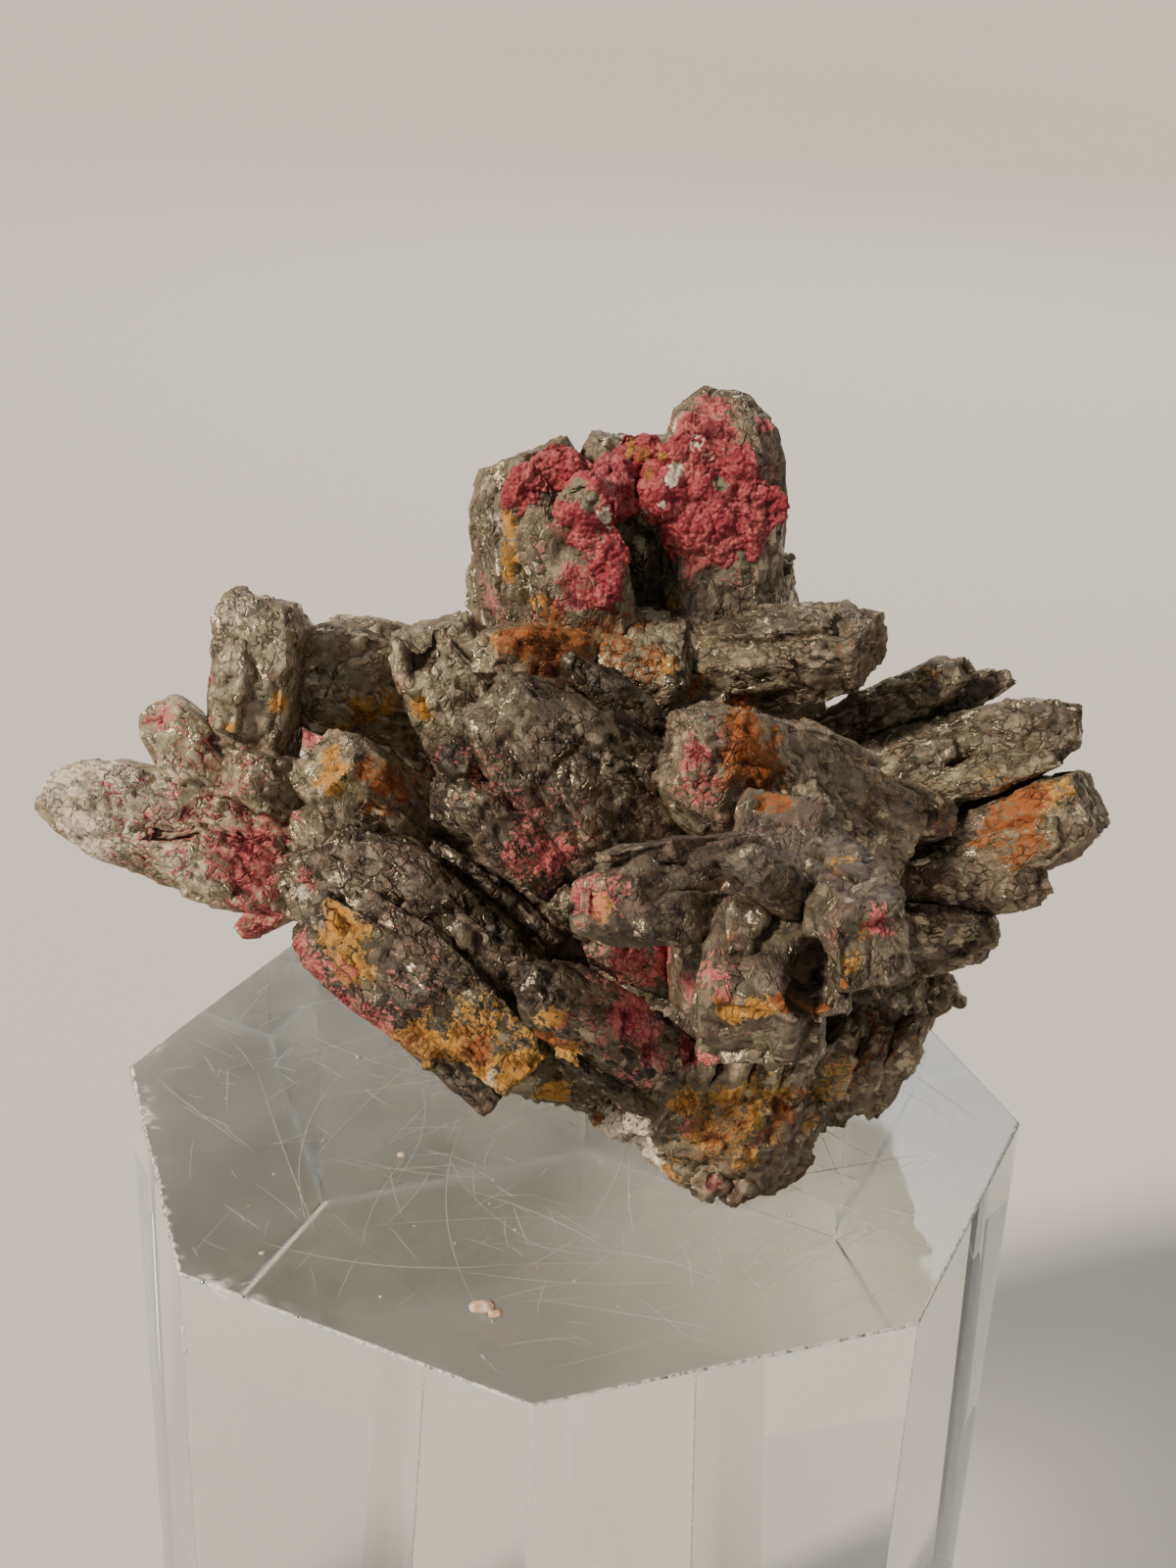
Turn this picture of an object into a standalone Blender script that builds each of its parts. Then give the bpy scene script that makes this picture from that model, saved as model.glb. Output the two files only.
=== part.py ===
"""Cinnabar on marcasite, standing on its clear eight-sided display block.

The specimen is one natural solid: flat, blunt marcasite crystals that
radiate from a common core and stand on a base of matrix. Thick cinnabar
grows over the faces of the upright crystals at the top. Sizes are in
millimetres and become metres when a mesh is made. +Z is up, +X runs to the
right and -Y faces the viewer. The origin is the middle of the block's
underside. The crystals' own zero height is the block's top.
"""

import math
import random
from collections import namedtuple

import bmesh
import bpy
from mathutils import Vector

MM = 0.001

# The clear block
BLOCK_ACROSS_FLATS = 60.0
BLOCK_HEIGHT = 60.0
BLOCK_SIDES = 8
BLOCK_EDGE = 0.4

# Clearances: between the specimen and the block, and under the cinnabar
REST_GAP = 0.3
CRUST_GAP = 0.3

# A crystal is a flat bar. Its long edges are cut off by these shares of its lesser half size,
# its corners wander by this share, and its end slopes by up to this much
EDGE_CUT = (0.16, 0.50)
WOBBLE = 0.045
END_SLOPE = 0.28

# A grown crystal's corners move out by this much for each unit that its flat sides move out by
CORNER_REACH = 1.4

# The plates that stand out of a large crystal's sides, as shares of its length and of that side
LEDGE_LENGTH = (0.38, 0.64)
LEDGE_WIDTH = (0.38, 0.62)
LEDGE_DEPTH = (0.24, 0.36)
LEDGE_PROUD = 0.40
LEDGE_ALONG = (0.40, 0.66)
LEDGE_ACROSS = 0.22
LEDGE_TILT = 0.07

# How finely a lump and a small knob are faceted
LUMP_SIDES = 8
LUMP_RINGS = 5
LUMP_WOBBLE = 0.08
KNOB_SIDES = 6
KNOB_RINGS = 3
KNOB_WOBBLE = 0.14

# Which way a crystal's broad side looks
FRONT = (0.0, -0.91, 0.41)
UP = (0.0, -0.35, 0.94)
LEFT_UP = (-0.62, -0.52, 0.58)
BACK = (0.0, 0.91, 0.41)
BACK_UP = (0.0, 0.45, 0.89)

# Outlines along a crystal: (share of the length from its base, share of its width)
SPEAR = ((0.0, 0.76), (0.50, 1.00), (0.84, 0.84), (1.0, 0.42))
CLUB = ((0.0, 0.20), (0.13, 0.50), (0.28, 0.80), (0.52, 1.00), (0.80, 0.98), (1.0, 0.55))
BLOCKY = ((0.0, 0.88), (0.40, 1.00), (0.86, 0.98), (1.0, 0.74))
WEDGE = ((0.0, 0.90), (0.48, 1.00), (0.80, 0.78), (1.0, 0.40))
LOAF = ((0.0, 0.92), (0.60, 1.00), (0.86, 0.84), (1.0, 0.50))
TOWER = ((0.0, 0.96), (0.45, 1.00), (0.80, 0.99), (0.91, 0.84), (1.0, 0.38))
SHARD = ((0.0, 0.90), (0.45, 1.00), (0.84, 0.80), (1.0, 0.38))
PLATE = ((0.0, 0.74), (0.66, 1.00), (1.0, 0.46))

# end is the slope of a crystal's end, across it and through it; None leaves it to the crystal's seed
Crystal = namedtuple("Crystal", "name base tip width depth faces form ledges end", defaults=(None,))

CRYSTALS = (
    # The arm that reaches out to the left, and what grows on it
    Crystal("left_arm", (-12.0, 1.0, 14.8), (-35.2, -5.0, 24.3), 7.8, 7.0, FRONT, SPEAR, 3),
    Crystal("left_arm_upper", (-18.0, 0.5, 14.5), (-28.1, -2.2, 29.0), 4.8, 5.6, FRONT, BLOCKY, 1),
    Crystal("left_arm_foot", (-15.0, -0.5, 18.0), (-22.2, -6.8, 15.4), 2.8, 3.0, FRONT, SHARD, 0),
    # The blocky crystals above the arm
    Crystal("upper_left_slab", (-22.3, -0.5, 25.2), (-21.6, 1.5, 36.2), 6.0, 7.2, FRONT, BLOCKY, 1,
            (-0.12, 0.1)),
    Crystal("upper_left_body", (-8.0, 9.0, 26.2), (-20.5, 3.6, 30.2), 7.6, 7.4, FRONT, BLOCKY, 2),
    Crystal("upper_middle", (-4.5, 2.5, 20.0), (-10.8, 2.8, 34.4), 7.2, 7.0, FRONT, BLOCKY, 2, (-0.1, 0.1)),
    Crystal("left_cube", (-14.0, 2.0, 21.0), (-22.8, -4.6, 26.0), 4.4, 4.6, FRONT, BLOCKY, 0),
    Crystal("ochre_block", (-7.0, 2.0, 16.5), (-16.4, -6.0, 27.8), 5.8, 6.0, FRONT, BLOCKY, 1),
    Crystal("ochre_knob", (-11.0, -2.0, 21.0), (-17.3, -7.8, 23.6), 3.3, 3.6, FRONT, BLOCKY, 0),
    # The broad spear at the lower left, its flank, and the blade in front of it
    Crystal("lower_left_spear", (2.5, -9.2, 6.0), (-17.4, -6.4, 22.1), 10.6, 9.2, FRONT, CLUB, 4),
    Crystal("lower_left_flank", (-7.6, -11.8, 11.0), (-16.6, -10.8, 19.2), 4.6, 4.8, FRONT, BLOCKY, 0),
    Crystal("front_left_blade", (9.6, -9.5, 6.4), (-2.2, -17.7, 19.7), 5.2, 5.6, LEFT_UP, SPEAR, 1),
    # The large crystals of the middle
    Crystal("middle_large", (10.5, -1.0, 16.5), (-5.6, -8.6, 33.4), 11.6, 9.2, FRONT, WEDGE, 5),
    Crystal("middle_knob", (-2.0, -4.0, 25.0), (-8.4, -9.2, 30.4), 3.2, 3.2, FRONT, SHARD, 0),
    Crystal("middle_small", (-1.0, -2.0, 21.0), (-8.6, -8.5, 26.6), 3.8, 4.0, FRONT, BLOCKY, 1),
    Crystal("domed", (19.5, -1.0, 21.5), (5.8, -10.6, 32.0), 9.2, 8.6, FRONT, LOAF, 2),
    Crystal("finger", (15.5, -10.5, 23.5), (14.0, -12.4, 30.4), 2.1, 3.2, FRONT, BLOCKY, 0),
    Crystal("low_shard", (5.0, -5.0, 15.5), (-0.6, -12.0, 22.0), 3.6, 3.6, FRONT, SHARD, 0),
    Crystal("low_shard_second", (8.0, -7.0, 14.0), (2.0, -14.6, 20.4), 3.6, 3.8, FRONT, SHARD, 0),
    # The group that stands out towards the viewer
    Crystal("front_stem", (10.0, -2.0, 14.5), (12.0, -23.0, 24.2), 9.8, 7.4, UP, BLOCKY, 1),
    Crystal("front_dark", (15.5, -15.0, 26.0), (1.2, -24.7, 28.2), 5.8, 6.0, FRONT, SPEAR, 2),
    Crystal("front_left_lobe", (12.8, -13.5, 28.6), (10.6, -28.6, 23.2), 6.6, 6.4, UP, BLOCKY, 1),
    Crystal("front_ridge", (16.0, -20.0, 25.5), (10.2, -25.0, 31.6), 3.0, 3.6, FRONT, BLOCKY, 0),
    Crystal("front_right_lobe", (14.5, -12.0, 25.4), (17.0, -28.0, 28.6), 5.8, 5.6, UP, BLOCKY, 1),
    Crystal("front_low_lobe", (10.5, -15.0, 18.5), (12.0, -27.6, 22.4), 7.2, 3.6, UP, BLOCKY, 1),
    Crystal("front_corner", (14.0, -20.0, 22.5), (15.6, -28.4, 25.2), 2.8, 2.6, UP, SHARD, 0),
    # The blades of the right side
    Crystal("right_flat", (2.0, 8.0, 30.4), (18.5, 2.0, 34.3), 5.8, 5.4, UP, BLOCKY, 2, (-0.3, 0.1)),
    Crystal("right_back_small", (15.5, 9.5, 24.5), (25.6, 6.5, 32.0), 3.6, 4.2, FRONT, SPEAR, 1),
    Crystal("right_back_dark", (13.0, 10.5, 22.5), (29.4, 10.0, 30.4), 3.4, 4.4, FRONT, SPEAR, 1),
    Crystal("right_spear", (13.0, 7.5, 20.0), (33.2, 3.5, 29.6), 7.0, 6.2, FRONT, SPEAR, 3),
    Crystal("right_spear_lobe", (17.0, 5.5, 22.5), (24.5, -0.8, 23.9), 4.2, 4.2, FRONT, LOAF, 0),
    Crystal("right_low_spear", (20.0, 5.0, 14.5), (33.9, -0.4, 25.7), 5.8, 6.4, FRONT, BLOCKY, 1),
    Crystal("right_shaded", (19.0, 2.0, 17.6), (31.6, -1.4, 20.4), 5.4, 5.6, FRONT, SPEAR, 0),
    Crystal("right_shaded_low", (17.0, 0.0, 13.0), (28.4, -3.0, 17.0), 5.2, 5.4, FRONT, SPEAR, 0),
    # The upright pair at the top, the bridge between them and what they stand on
    Crystal("tower_left", (-2.3, 7.5, 28.0), (-5.4, 10.4, 44.4), 8.6, 7.4, FRONT, BLOCKY, 0, (0.26, 0.0)),
    Crystal("tower_left_lobe", (0.5, 4.0, 31.5), (-2.0, 5.2, 42.2), 6.4, 5.0, FRONT, BLOCKY, 0),
    Crystal("tower_right", (8.8, 8.0, 28.0), (8.1, 12.6, 48.9), 8.2, 8.0, FRONT, TOWER, 0, (-0.2, 0.0)),
    Crystal("tower_bridge", (2.4, 11.5, 32.0), (2.0, 12.6, 45.4), 7.8, 4.6, FRONT, BLOCKY, 0, (-0.05, 0.0)),
    Crystal("tower_left_plate", (-4.6, 9.0, 27.0), (-7.2, 12.6, 41.0), 4.6, 5.0, FRONT, BLOCKY, 0,
            (0.3, 0.0)),
    Crystal("tower_back_plate", (2.5, 12.0, 27.0), (-2.0, 15.2, 40.5), 7.4, 3.6, BACK, BLOCKY, 0),
    Crystal("tower_right_plate", (10.5, 10.5, 27.0), (10.4, 15.4, 43.5), 5.6, 4.2, BACK, BLOCKY, 0),
    Crystal("rust_top", (4.0, 6.5, 30.0), (-6.6, -1.8, 34.2), 5.1, 5.2, FRONT, LOAF, 0),
    Crystal("under_towers", (2.0, 5.5, 25.0), (3.6, 2.6, 34.8), 7.6, 6.4, FRONT, BLOCKY, 1),
    # The unseen far side, which fans out as the near side does
    Crystal("back_left", (-5.0, 6.0, 18.0), (-23.0, 17.5, 22.5), 7.8, 6.8, BACK_UP, SPEAR, 1),
    Crystal("back_left_low", (-3.0, 7.0, 11.0), (-16.0, 17.0, 9.5), 6.8, 6.0, BACK, BLOCKY, 0),
    Crystal("back_middle", (2.0, 8.0, 20.0), (-3.0, 26.5, 23.5), 8.4, 7.4, BACK_UP, WEDGE, 2),
    Crystal("back_high_left", (0.0, 9.0, 26.0), (-9.5, 20.5, 33.5), 6.8, 6.0, BACK, SPEAR, 1),
    Crystal("back_high_right", (8.0, 9.0, 26.0), (13.0, 22.5, 33.5), 7.2, 6.4, BACK, SPEAR, 1),
    Crystal("back_right", (10.0, 8.0, 18.0), (21.5, 22.0, 21.5), 7.6, 6.6, BACK_UP, SPEAR, 0),
    Crystal("back_right_low", (11.0, 7.0, 11.0), (25.0, 13.5, 13.0), 6.6, 5.8, BACK, BLOCKY, 0),
    Crystal("back_low", (5.0, 8.0, 9.0), (6.5, 22.5, 9.5), 8.0, 6.6, BACK_UP, LOAF, 0),
)

Lump = namedtuple("Lump", "name centre radii")

# The core that the crystals spring from, and the matrix under it
LUMPS = (
    Lump("core_low", (8.5, -0.5, 9.5), (12.5, 10.5, 9.0)),
    Lump("core_middle", (4.0, 1.5, 19.0), (16.5, 9.5, 9.5)),
    Lump("core_high", (4.5, 6.5, 29.0), (12.0, 6.0, 6.5)),
    Lump("base_front", (11.0, -7.0, 5.0), (8.1, 6.1, 7.7)),
    Lump("base_left", (1.5, 1.8, 4.4), (9.6, 6.2, 6.2)),
    Lump("base_right", (18.4, 0.4, 9.4), (7.6, 7.2, 7.2)),
    Lump("base_back", (9.0, 8.0, 4.6), (9.5, 7.0, 6.6)),
)

# Knobs of matrix scattered over a lump: (lump, how many). Their spread is in shares of a quarter turn
# up and of a half turn round, and their centres lie at a share of the lump's radii
KNOBBED = (("base_front", 12), ("base_right", 6), ("base_back", 4), ("base_left", 4))
KNOB_SIZE = (1.3, 2.2)
KNOB_SPREAD = ((-0.85, 0.15), (-1.0, 1.0))
KNOB_DISTANCE = 0.9
KNOB_FLATNESS = 0.8

# The row of upright plates along the base's front edge, from left to right
COMB_PLATES = 8
COMB_TOP_LEFT = (7.4, -12.9, 13.2)
COMB_TOP_RIGHT = (23.1, -7.4, 12.4)
COMB_HEIGHT = 7.6
COMB_LEAN = (-0.30, 0.36)
COMB_WIDTH = (2.0, 2.9)
COMB_DEPTH = 4.6
COMB_SHIFT_BACK = (-0.6, 0.6)
COMB_SHIFT_UP = (-1.0, 0.9)
COMB_STRETCH = (0.85, 1.1)

# Pits and clefts in the surface: (centre, radii)
PITS = (
    ((-11.2, -0.6, 33.6), (1.3, 1.8, 2.3)),
    ((-17.8, -3.0, 28.4), (0.9, 1.3, 1.1)),
    ((13.9, -27.2, 26.0), (1.5, 3.4, 1.9)),
    ((27.5, 1.9, 26.6), (3.2, 1.1, 0.7)),
    ((-26.5, -6.8, 22.4), (2.8, 1.0, 0.7)),
)

# The cinnabar that is thick enough to stand out. Each spot lies on the broad side of a crystal:
# (crystal, how far across it from its middle line, share of its length, radius)
CRUST_SPOTS = (
    ("tower_right", -2.2, 0.56, 2.4),
    ("tower_right", 0.6, 0.54, 2.4),
    ("tower_right", 2.0, 0.64, 2.3),
    ("tower_right", -1.2, 0.66, 2.6),
    ("tower_right", 0.6, 0.74, 2.4),
    ("tower_right", -2.4, 0.78, 2.3),
    ("tower_bridge", 0.4, 0.84, 2.9),
    ("tower_left", 2.4, 0.90, 2.4),
    ("tower_left", 0.0, 0.84, 2.2),
    ("tower_left_lobe", 1.2, 0.96, 2.5),
    ("tower_left_lobe", 1.8, 0.74, 2.1),
    ("tower_left_lobe", 1.2, 0.56, 2.0),
)
# Spots that fill the corners between the upright crystals: (centre, radius)
CRUST_CORNERS = (
    ((-0.6, 4.4, 43.0), 2.3),
    ((0.6, 7.4, 43.0), 2.6),
    ((4.4, 7.8, 42.9), 2.6),
)
CRUST_THICKNESS = 0.55
CRUST_BACKERS = ("tower_left", "tower_left_lobe", "tower_right", "tower_bridge")
CRUST_SIDES = 7
CRUST_RINGS = 4

# The finishes: sRGB colour, roughness, metallic and transmission
Finish = namedtuple("Finish", "name colour roughness metallic transmission")
ACRYLIC = Finish("clear_acrylic", (0.93, 0.94, 0.93), 0.05, 0.0, 1.0)
MARCASITE = Finish("marcasite", (0.40, 0.37, 0.31), 0.45, 0.6, 0.0)
CINNABAR = Finish("cinnabar", (0.70, 0.18, 0.22), 0.6, 0.0, 0.0)


def clear_scene():
    for obj in list(bpy.data.objects):
        bpy.data.objects.remove(obj, do_unlink=True)


def linear(colour):
    """An sRGB colour as the linear one that a shader takes."""
    return [c / 12.92 if c <= 0.04045 else ((c + 0.055) / 1.055) ** 2.4 for c in colour]


def material_of(finish):
    material = bpy.data.materials.new(finish.name)
    material.use_nodes = True
    shader = material.node_tree.nodes["Principled BSDF"]
    shader.inputs["Base Color"].default_value = (*linear(finish.colour), 1.0)
    shader.inputs["Roughness"].default_value = finish.roughness
    shader.inputs["Metallic"].default_value = finish.metallic
    shader.inputs["Transmission Weight"].default_value = finish.transmission
    return material


def solid(name, rings, finish=None):
    """A closed object from rings of points, each ring joined to the next and the ends filled."""
    shape = bmesh.new()
    loops = [[shape.verts.new(Vector(p) * MM) for p in ring] for ring in rings]
    count = len(loops[0])
    for low, high in zip(loops, loops[1:]):
        for i in range(count):
            j = (i + 1) % count
            shape.faces.new((low[i], low[j], high[j], high[i]))
    shape.faces.new(loops[0])
    shape.faces.new(loops[-1])
    bmesh.ops.recalc_face_normals(shape, faces=shape.faces)
    mesh = bpy.data.meshes.new(name)
    shape.to_mesh(mesh)
    shape.free()
    obj = bpy.data.objects.new(name, mesh)
    bpy.context.scene.collection.objects.link(obj)
    if finish:
        mesh.materials.append(material_of(finish))
    return obj


def axes_of(base, tip, faces):
    """The unit directions across, through and along a crystal."""
    along = (tip - base).normalized()
    through = Vector(faces)
    through = (through - along * through.dot(along)).normalized()
    return along.cross(through), through, along


def bar_corners(chance, half_width, half_depth, sunk):
    """The corners of a rectangle, each cut off by its own seeded amount, but for a plate's two sunk ones."""
    least = min(half_width, half_depth)
    corners = []
    for side, front in ((1, -1), (1, 1), (-1, 1), (-1, -1)):
        if sunk and front < 0:
            corners.append((side * half_width, -half_depth))
            continue
        off_side = (side * half_width, front * (half_depth - least * chance.uniform(*EDGE_CUT)))
        off_front = (side * (half_width - least * chance.uniform(*EDGE_CUT)), front * half_depth)
        corners += [off_side, off_front] if side * front > 0 else [off_front, off_side]
    return corners


def crystal_rings(base, tip, width, depth, faces, form, seed, end=None, grow=0.0, sunk=False):
    """Rings of points along a crystal. Its corners keep their seeded wobble, so its long faces stay flat."""
    chance = random.Random(seed)
    base, tip = Vector(base), Vector(tip)
    across, through, along = axes_of(base, tip, faces)
    length = (tip - base).length
    corners = bar_corners(chance, width / 2, depth / 2, sunk)
    wander = [1.0 + chance.uniform(-WOBBLE, WOBBLE) for _ in corners]
    slope = (chance.uniform(-END_SLOPE, END_SLOPE), chance.uniform(-END_SLOPE, END_SLOPE))
    slope = end or slope
    rings = []
    for share, size in form:
        size *= 1.0 + chance.uniform(-WOBBLE, WOBBLE) / 2
        middle = base + along * (length * share + (grow if share > 0.5 else -grow))
        ring = []
        for (x, y), wandered in zip(corners, wander):
            x, y = x * size * wandered, y * size * wandered
            out = 1.0 + grow / math.hypot(x, y) * CORNER_REACH
            lean = (slope[0] * x + slope[1] * y) * share * share
            ring.append(middle + across * x * out + through * y * out + along * lean)
        rings.append(ring)
    return rings


def ledges_of(crystal):
    """Plates that lie nearly along a large crystal, half sunk in each of its sides in turn."""
    chance = random.Random(crystal.name + " ledges")
    base, tip = Vector(crystal.base), Vector(crystal.tip)
    across, through, along = axes_of(base, tip, crystal.faces)
    length = (tip - base).length
    sides = (
        (through, across, crystal.depth, crystal.width),
        (across, through, crystal.width, crystal.depth),
        (through, across, crystal.depth, crystal.width),
        (-across, through, crystal.width, crystal.depth),
        (-through, across, crystal.depth, crystal.width),
    )
    found = []
    for i in range(crystal.ledges):
        outward, sideways, far, broad = sides[i % len(sides)]
        thick = far * chance.uniform(*LEDGE_DEPTH)
        wide = broad * chance.uniform(*LEDGE_WIDTH)
        span = length * chance.uniform(*LEDGE_LENGTH)
        middle = (
            base
            + along * length * chance.uniform(*LEDGE_ALONG)
            + outward * (far / 2 + thick * (LEDGE_PROUD - 0.5))
            + sideways * broad * chance.uniform(-LEDGE_ACROSS, LEDGE_ACROSS)
        )
        tilt = sideways * chance.uniform(-LEDGE_TILT, LEDGE_TILT) + outward * chance.uniform(-LEDGE_TILT, 0.0)
        way = (along + tilt).normalized()
        found.append((middle - way * span / 2, middle + way * span / 2, wide, thick, outward))
    return found


def lump_rings(centre, radii, sides, rings, seed, wobble):
    """Rings of points round an egg shape, stacked in height, each point with its own seeded wobble."""
    chance = random.Random(seed)
    stack = []
    for k in range(rings):
        climb = math.pi * (k + 0.5) / rings - math.pi / 2
        ring = []
        for i in range(sides):
            angle = math.tau * (i + 0.5 * (k % 2)) / sides
            size = 1.0 + chance.uniform(-wobble, wobble)
            ring.append((
                centre[0] + radii[0] * size * math.cos(climb) * math.cos(angle),
                centre[1] + radii[1] * size * math.cos(climb) * math.sin(angle),
                centre[2] + radii[2] * size * math.sin(climb),
            ))
        stack.append(ring)
    return stack


def knobs_on(lump, count):
    """Small knobs scattered over a lump's skin: (centre, radius), each at its own seeded angles."""
    chance = random.Random(lump.name + " knobs")
    low_high, round_about = KNOB_SPREAD
    found = []
    for _ in range(count):
        climb = math.pi / 2 * chance.uniform(*low_high)
        angle = math.pi * (-0.5 + chance.uniform(*round_about))
        way = (math.cos(climb) * math.cos(angle), math.cos(climb) * math.sin(angle), math.sin(climb))
        centre = [c + r * w * KNOB_DISTANCE for c, r, w in zip(lump.centre, lump.radii, way)]
        found.append((centre, chance.uniform(*KNOB_SIZE)))
    return found


def comb_plates():
    """The base's row of thin upright plates, evenly spaced, each with its own seeded width and height."""
    chance = random.Random("comb")
    first, last = Vector(COMB_TOP_LEFT), Vector(COMB_TOP_RIGHT)
    found = []
    for i in range(COMB_PLATES):
        top = first.lerp(last, i / (COMB_PLATES - 1))
        top += Vector((0.0, chance.uniform(*COMB_SHIFT_BACK), chance.uniform(*COMB_SHIFT_UP)))
        height = COMB_HEIGHT * chance.uniform(*COMB_STRETCH)
        foot = top + Vector((COMB_LEAN[0] * height, COMB_LEAN[1] * height, -height))
        found.append((foot, top, chance.uniform(*COMB_WIDTH)))
    return found


def raised(rings):
    """The same rings, moved from the block's top to the origin's height."""
    return [[Vector(p) + Vector((0.0, 0.0, BLOCK_HEIGHT)) for p in ring] for ring in rings]


def new_group(name):
    group = bpy.data.collections.new(name)
    bpy.context.scene.collection.children.link(group)
    return group


def helper(name, rings, group):
    """A solid that only shapes another one: it is drawn as wire and never rendered."""
    obj = solid(name, raised(rings))
    bpy.context.scene.collection.objects.unlink(obj)
    group.objects.link(obj)
    obj.hide_render = True
    obj.display_type = "WIRE"


def combine(obj, group, operation, name):
    """A Boolean of the object with every solid of a group."""
    modifier = obj.modifiers.new(name, "BOOLEAN")
    modifier.operation = operation
    modifier.operand_type = "COLLECTION"
    modifier.collection = group
    modifier.solver = "EXACT"


def keep_outer_skin(obj):
    """Works out the object's modifiers and drops the sealed pockets that crystals leave between them."""
    evaluated = obj.evaluated_get(bpy.context.evaluated_depsgraph_get())
    shape = bmesh.new()
    shape.from_mesh(evaluated.to_mesh())
    bmesh.ops.triangulate(shape, faces=shape.faces)
    skins = []
    waiting = set(shape.faces)
    while waiting:
        rim = [waiting.pop()]
        skin = set(rim)
        while rim:
            edges = {edge for face in rim for edge in face.edges if len(edge.link_faces) == 2}
            rim = list({face for edge in edges for face in edge.link_faces} - skin)
            skin.update(rim)
        waiting -= skin
        skins.append(skin)
    outer = max(skins, key=len)
    pockets = [face for skin in skins if skin is not outer for face in skin]
    bmesh.ops.delete(shape, geom=pockets, context="FACES")
    obj.modifiers.clear()
    shape.to_mesh(obj.data)
    shape.free()


def add_crystal(crystal, group, grow=0.0):
    """Adds a crystal and its plates to a group of helpers."""
    name, base, tip, width, depth, faces, form, _, end = crystal
    suffix = "_room" if grow else ""
    rings = crystal_rings(base, tip, width, depth, faces, form, name, end, grow)
    helper(name + suffix, rings, group)
    for i, (low, high, wide, thick, outward) in enumerate(ledges_of(crystal)):
        seed = f"{name}_ledge_{i}"
        rings = crystal_rings(low, high, wide, thick, outward, PLATE, seed, None, grow, sunk=True)
        helper(seed + suffix, rings, group)


def make_block():
    """The clear block: an eight-sided prism with a corner towards the viewer and slightly eased edges."""
    radius = BLOCK_ACROSS_FLATS / 2 / math.cos(math.pi / BLOCK_SIDES)
    outline = [
        (radius * math.cos(math.tau * i / BLOCK_SIDES), radius * math.sin(math.tau * i / BLOCK_SIDES))
        for i in range(BLOCK_SIDES)
    ]
    rings = [[(x, y, z) for x, y in outline] for z in (0.0, BLOCK_HEIGHT)]
    block = solid("clear_block", rings, ACRYLIC)
    bevel = block.modifiers.new("eased edges", "BEVEL")
    bevel.width = BLOCK_EDGE * MM
    bevel.segments = 1
    bevel.limit_method = "ANGLE"


def rest_cutter():
    """Everything lower than the specimen's resting face."""
    group = new_group("rest_cut")
    reach = 2 * BLOCK_ACROSS_FLATS
    corners = ((-reach, -reach), (reach, -reach), (reach, reach), (-reach, reach))
    helper("below_rest_face", [[(x, y, z) for x, y in corners] for z in (-reach, REST_GAP)], group)
    return group


def make_cluster():
    """The marcasite: core, matrix, crystals, plates and knobs grown together in one solid, then pitted."""
    group = new_group("grown_together")
    for lump in LUMPS:
        rings = lump_rings(lump.centre, lump.radii, LUMP_SIDES, LUMP_RINGS, lump.name, LUMP_WOBBLE)
        if lump is LUMPS[0]:
            cluster = solid("marcasite_cluster", raised(rings), MARCASITE)
        else:
            helper(lump.name, rings, group)
    for crystal in CRYSTALS:
        add_crystal(crystal, group)
    for i, (foot, top, width) in enumerate(comb_plates()):
        seed = f"comb_plate_{i}"
        helper(seed, crystal_rings(foot, top, width, COMB_DEPTH, FRONT, SHARD, seed), group)
    by_name = {lump.name: lump for lump in LUMPS}
    for name, count in KNOBBED:
        for i, (centre, size) in enumerate(knobs_on(by_name[name], count)):
            seed = f"{name}_knob_{i}"
            radii = (size, size, size * KNOB_FLATNESS)
            helper(seed, lump_rings(centre, radii, KNOB_SIDES, KNOB_RINGS, seed, KNOB_WOBBLE), group)
    pits = new_group("pits")
    for i, (centre, radii) in enumerate(PITS):
        seed = f"pit_{i}"
        helper(seed, lump_rings(centre, radii, KNOB_SIDES, KNOB_RINGS, seed, KNOB_WOBBLE), pits)
    combine(cluster, group, "UNION", "grown together")
    combine(cluster, pits, "DIFFERENCE", "pits")
    combine(cluster, rest_cutter(), "DIFFERENCE", "resting face")
    keep_outer_skin(cluster)


def on_broad_side(crystal, aside, share):
    """The point on a crystal's broad side, this far across it and at this share of its length."""
    base, tip = Vector(crystal.base), Vector(crystal.tip)
    across, through, _ = axes_of(base, tip, crystal.faces)
    return base.lerp(tip, share) + across * aside + through * crystal.depth / 2


def make_crust():
    """The thick cinnabar: joined spots that lie on the crystals' broad sides and clear them all round."""
    by_name = {crystal.name: crystal for crystal in CRYSTALS}
    room = new_group("crust_room")
    for name in CRUST_BACKERS:
        add_crystal(by_name[name], room, CRUST_GAP)
    spots = [
        (on_broad_side(by_name[name], aside, share), radius, radius * CRUST_THICKNESS)
        for name, aside, share, radius in CRUST_SPOTS
    ]
    spots += [(centre, radius, radius) for centre, radius in CRUST_CORNERS]
    group = new_group("crust_spots")
    for i, (centre, radius, thickness) in enumerate(spots):
        radii = (radius, thickness, radius)
        rings = lump_rings(centre, radii, CRUST_SIDES, CRUST_RINGS, f"crust_{i}", LUMP_WOBBLE)
        if i == 0:
            crust = solid("cinnabar_crust", raised(rings), CINNABAR)
        else:
            helper(f"crust_{i}", rings, group)
    combine(crust, group, "UNION", "joined spots")
    combine(crust, room, "DIFFERENCE", "lies on the faces")


def main():
    clear_scene()
    make_block()
    make_cluster()
    make_crust()


main()
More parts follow.
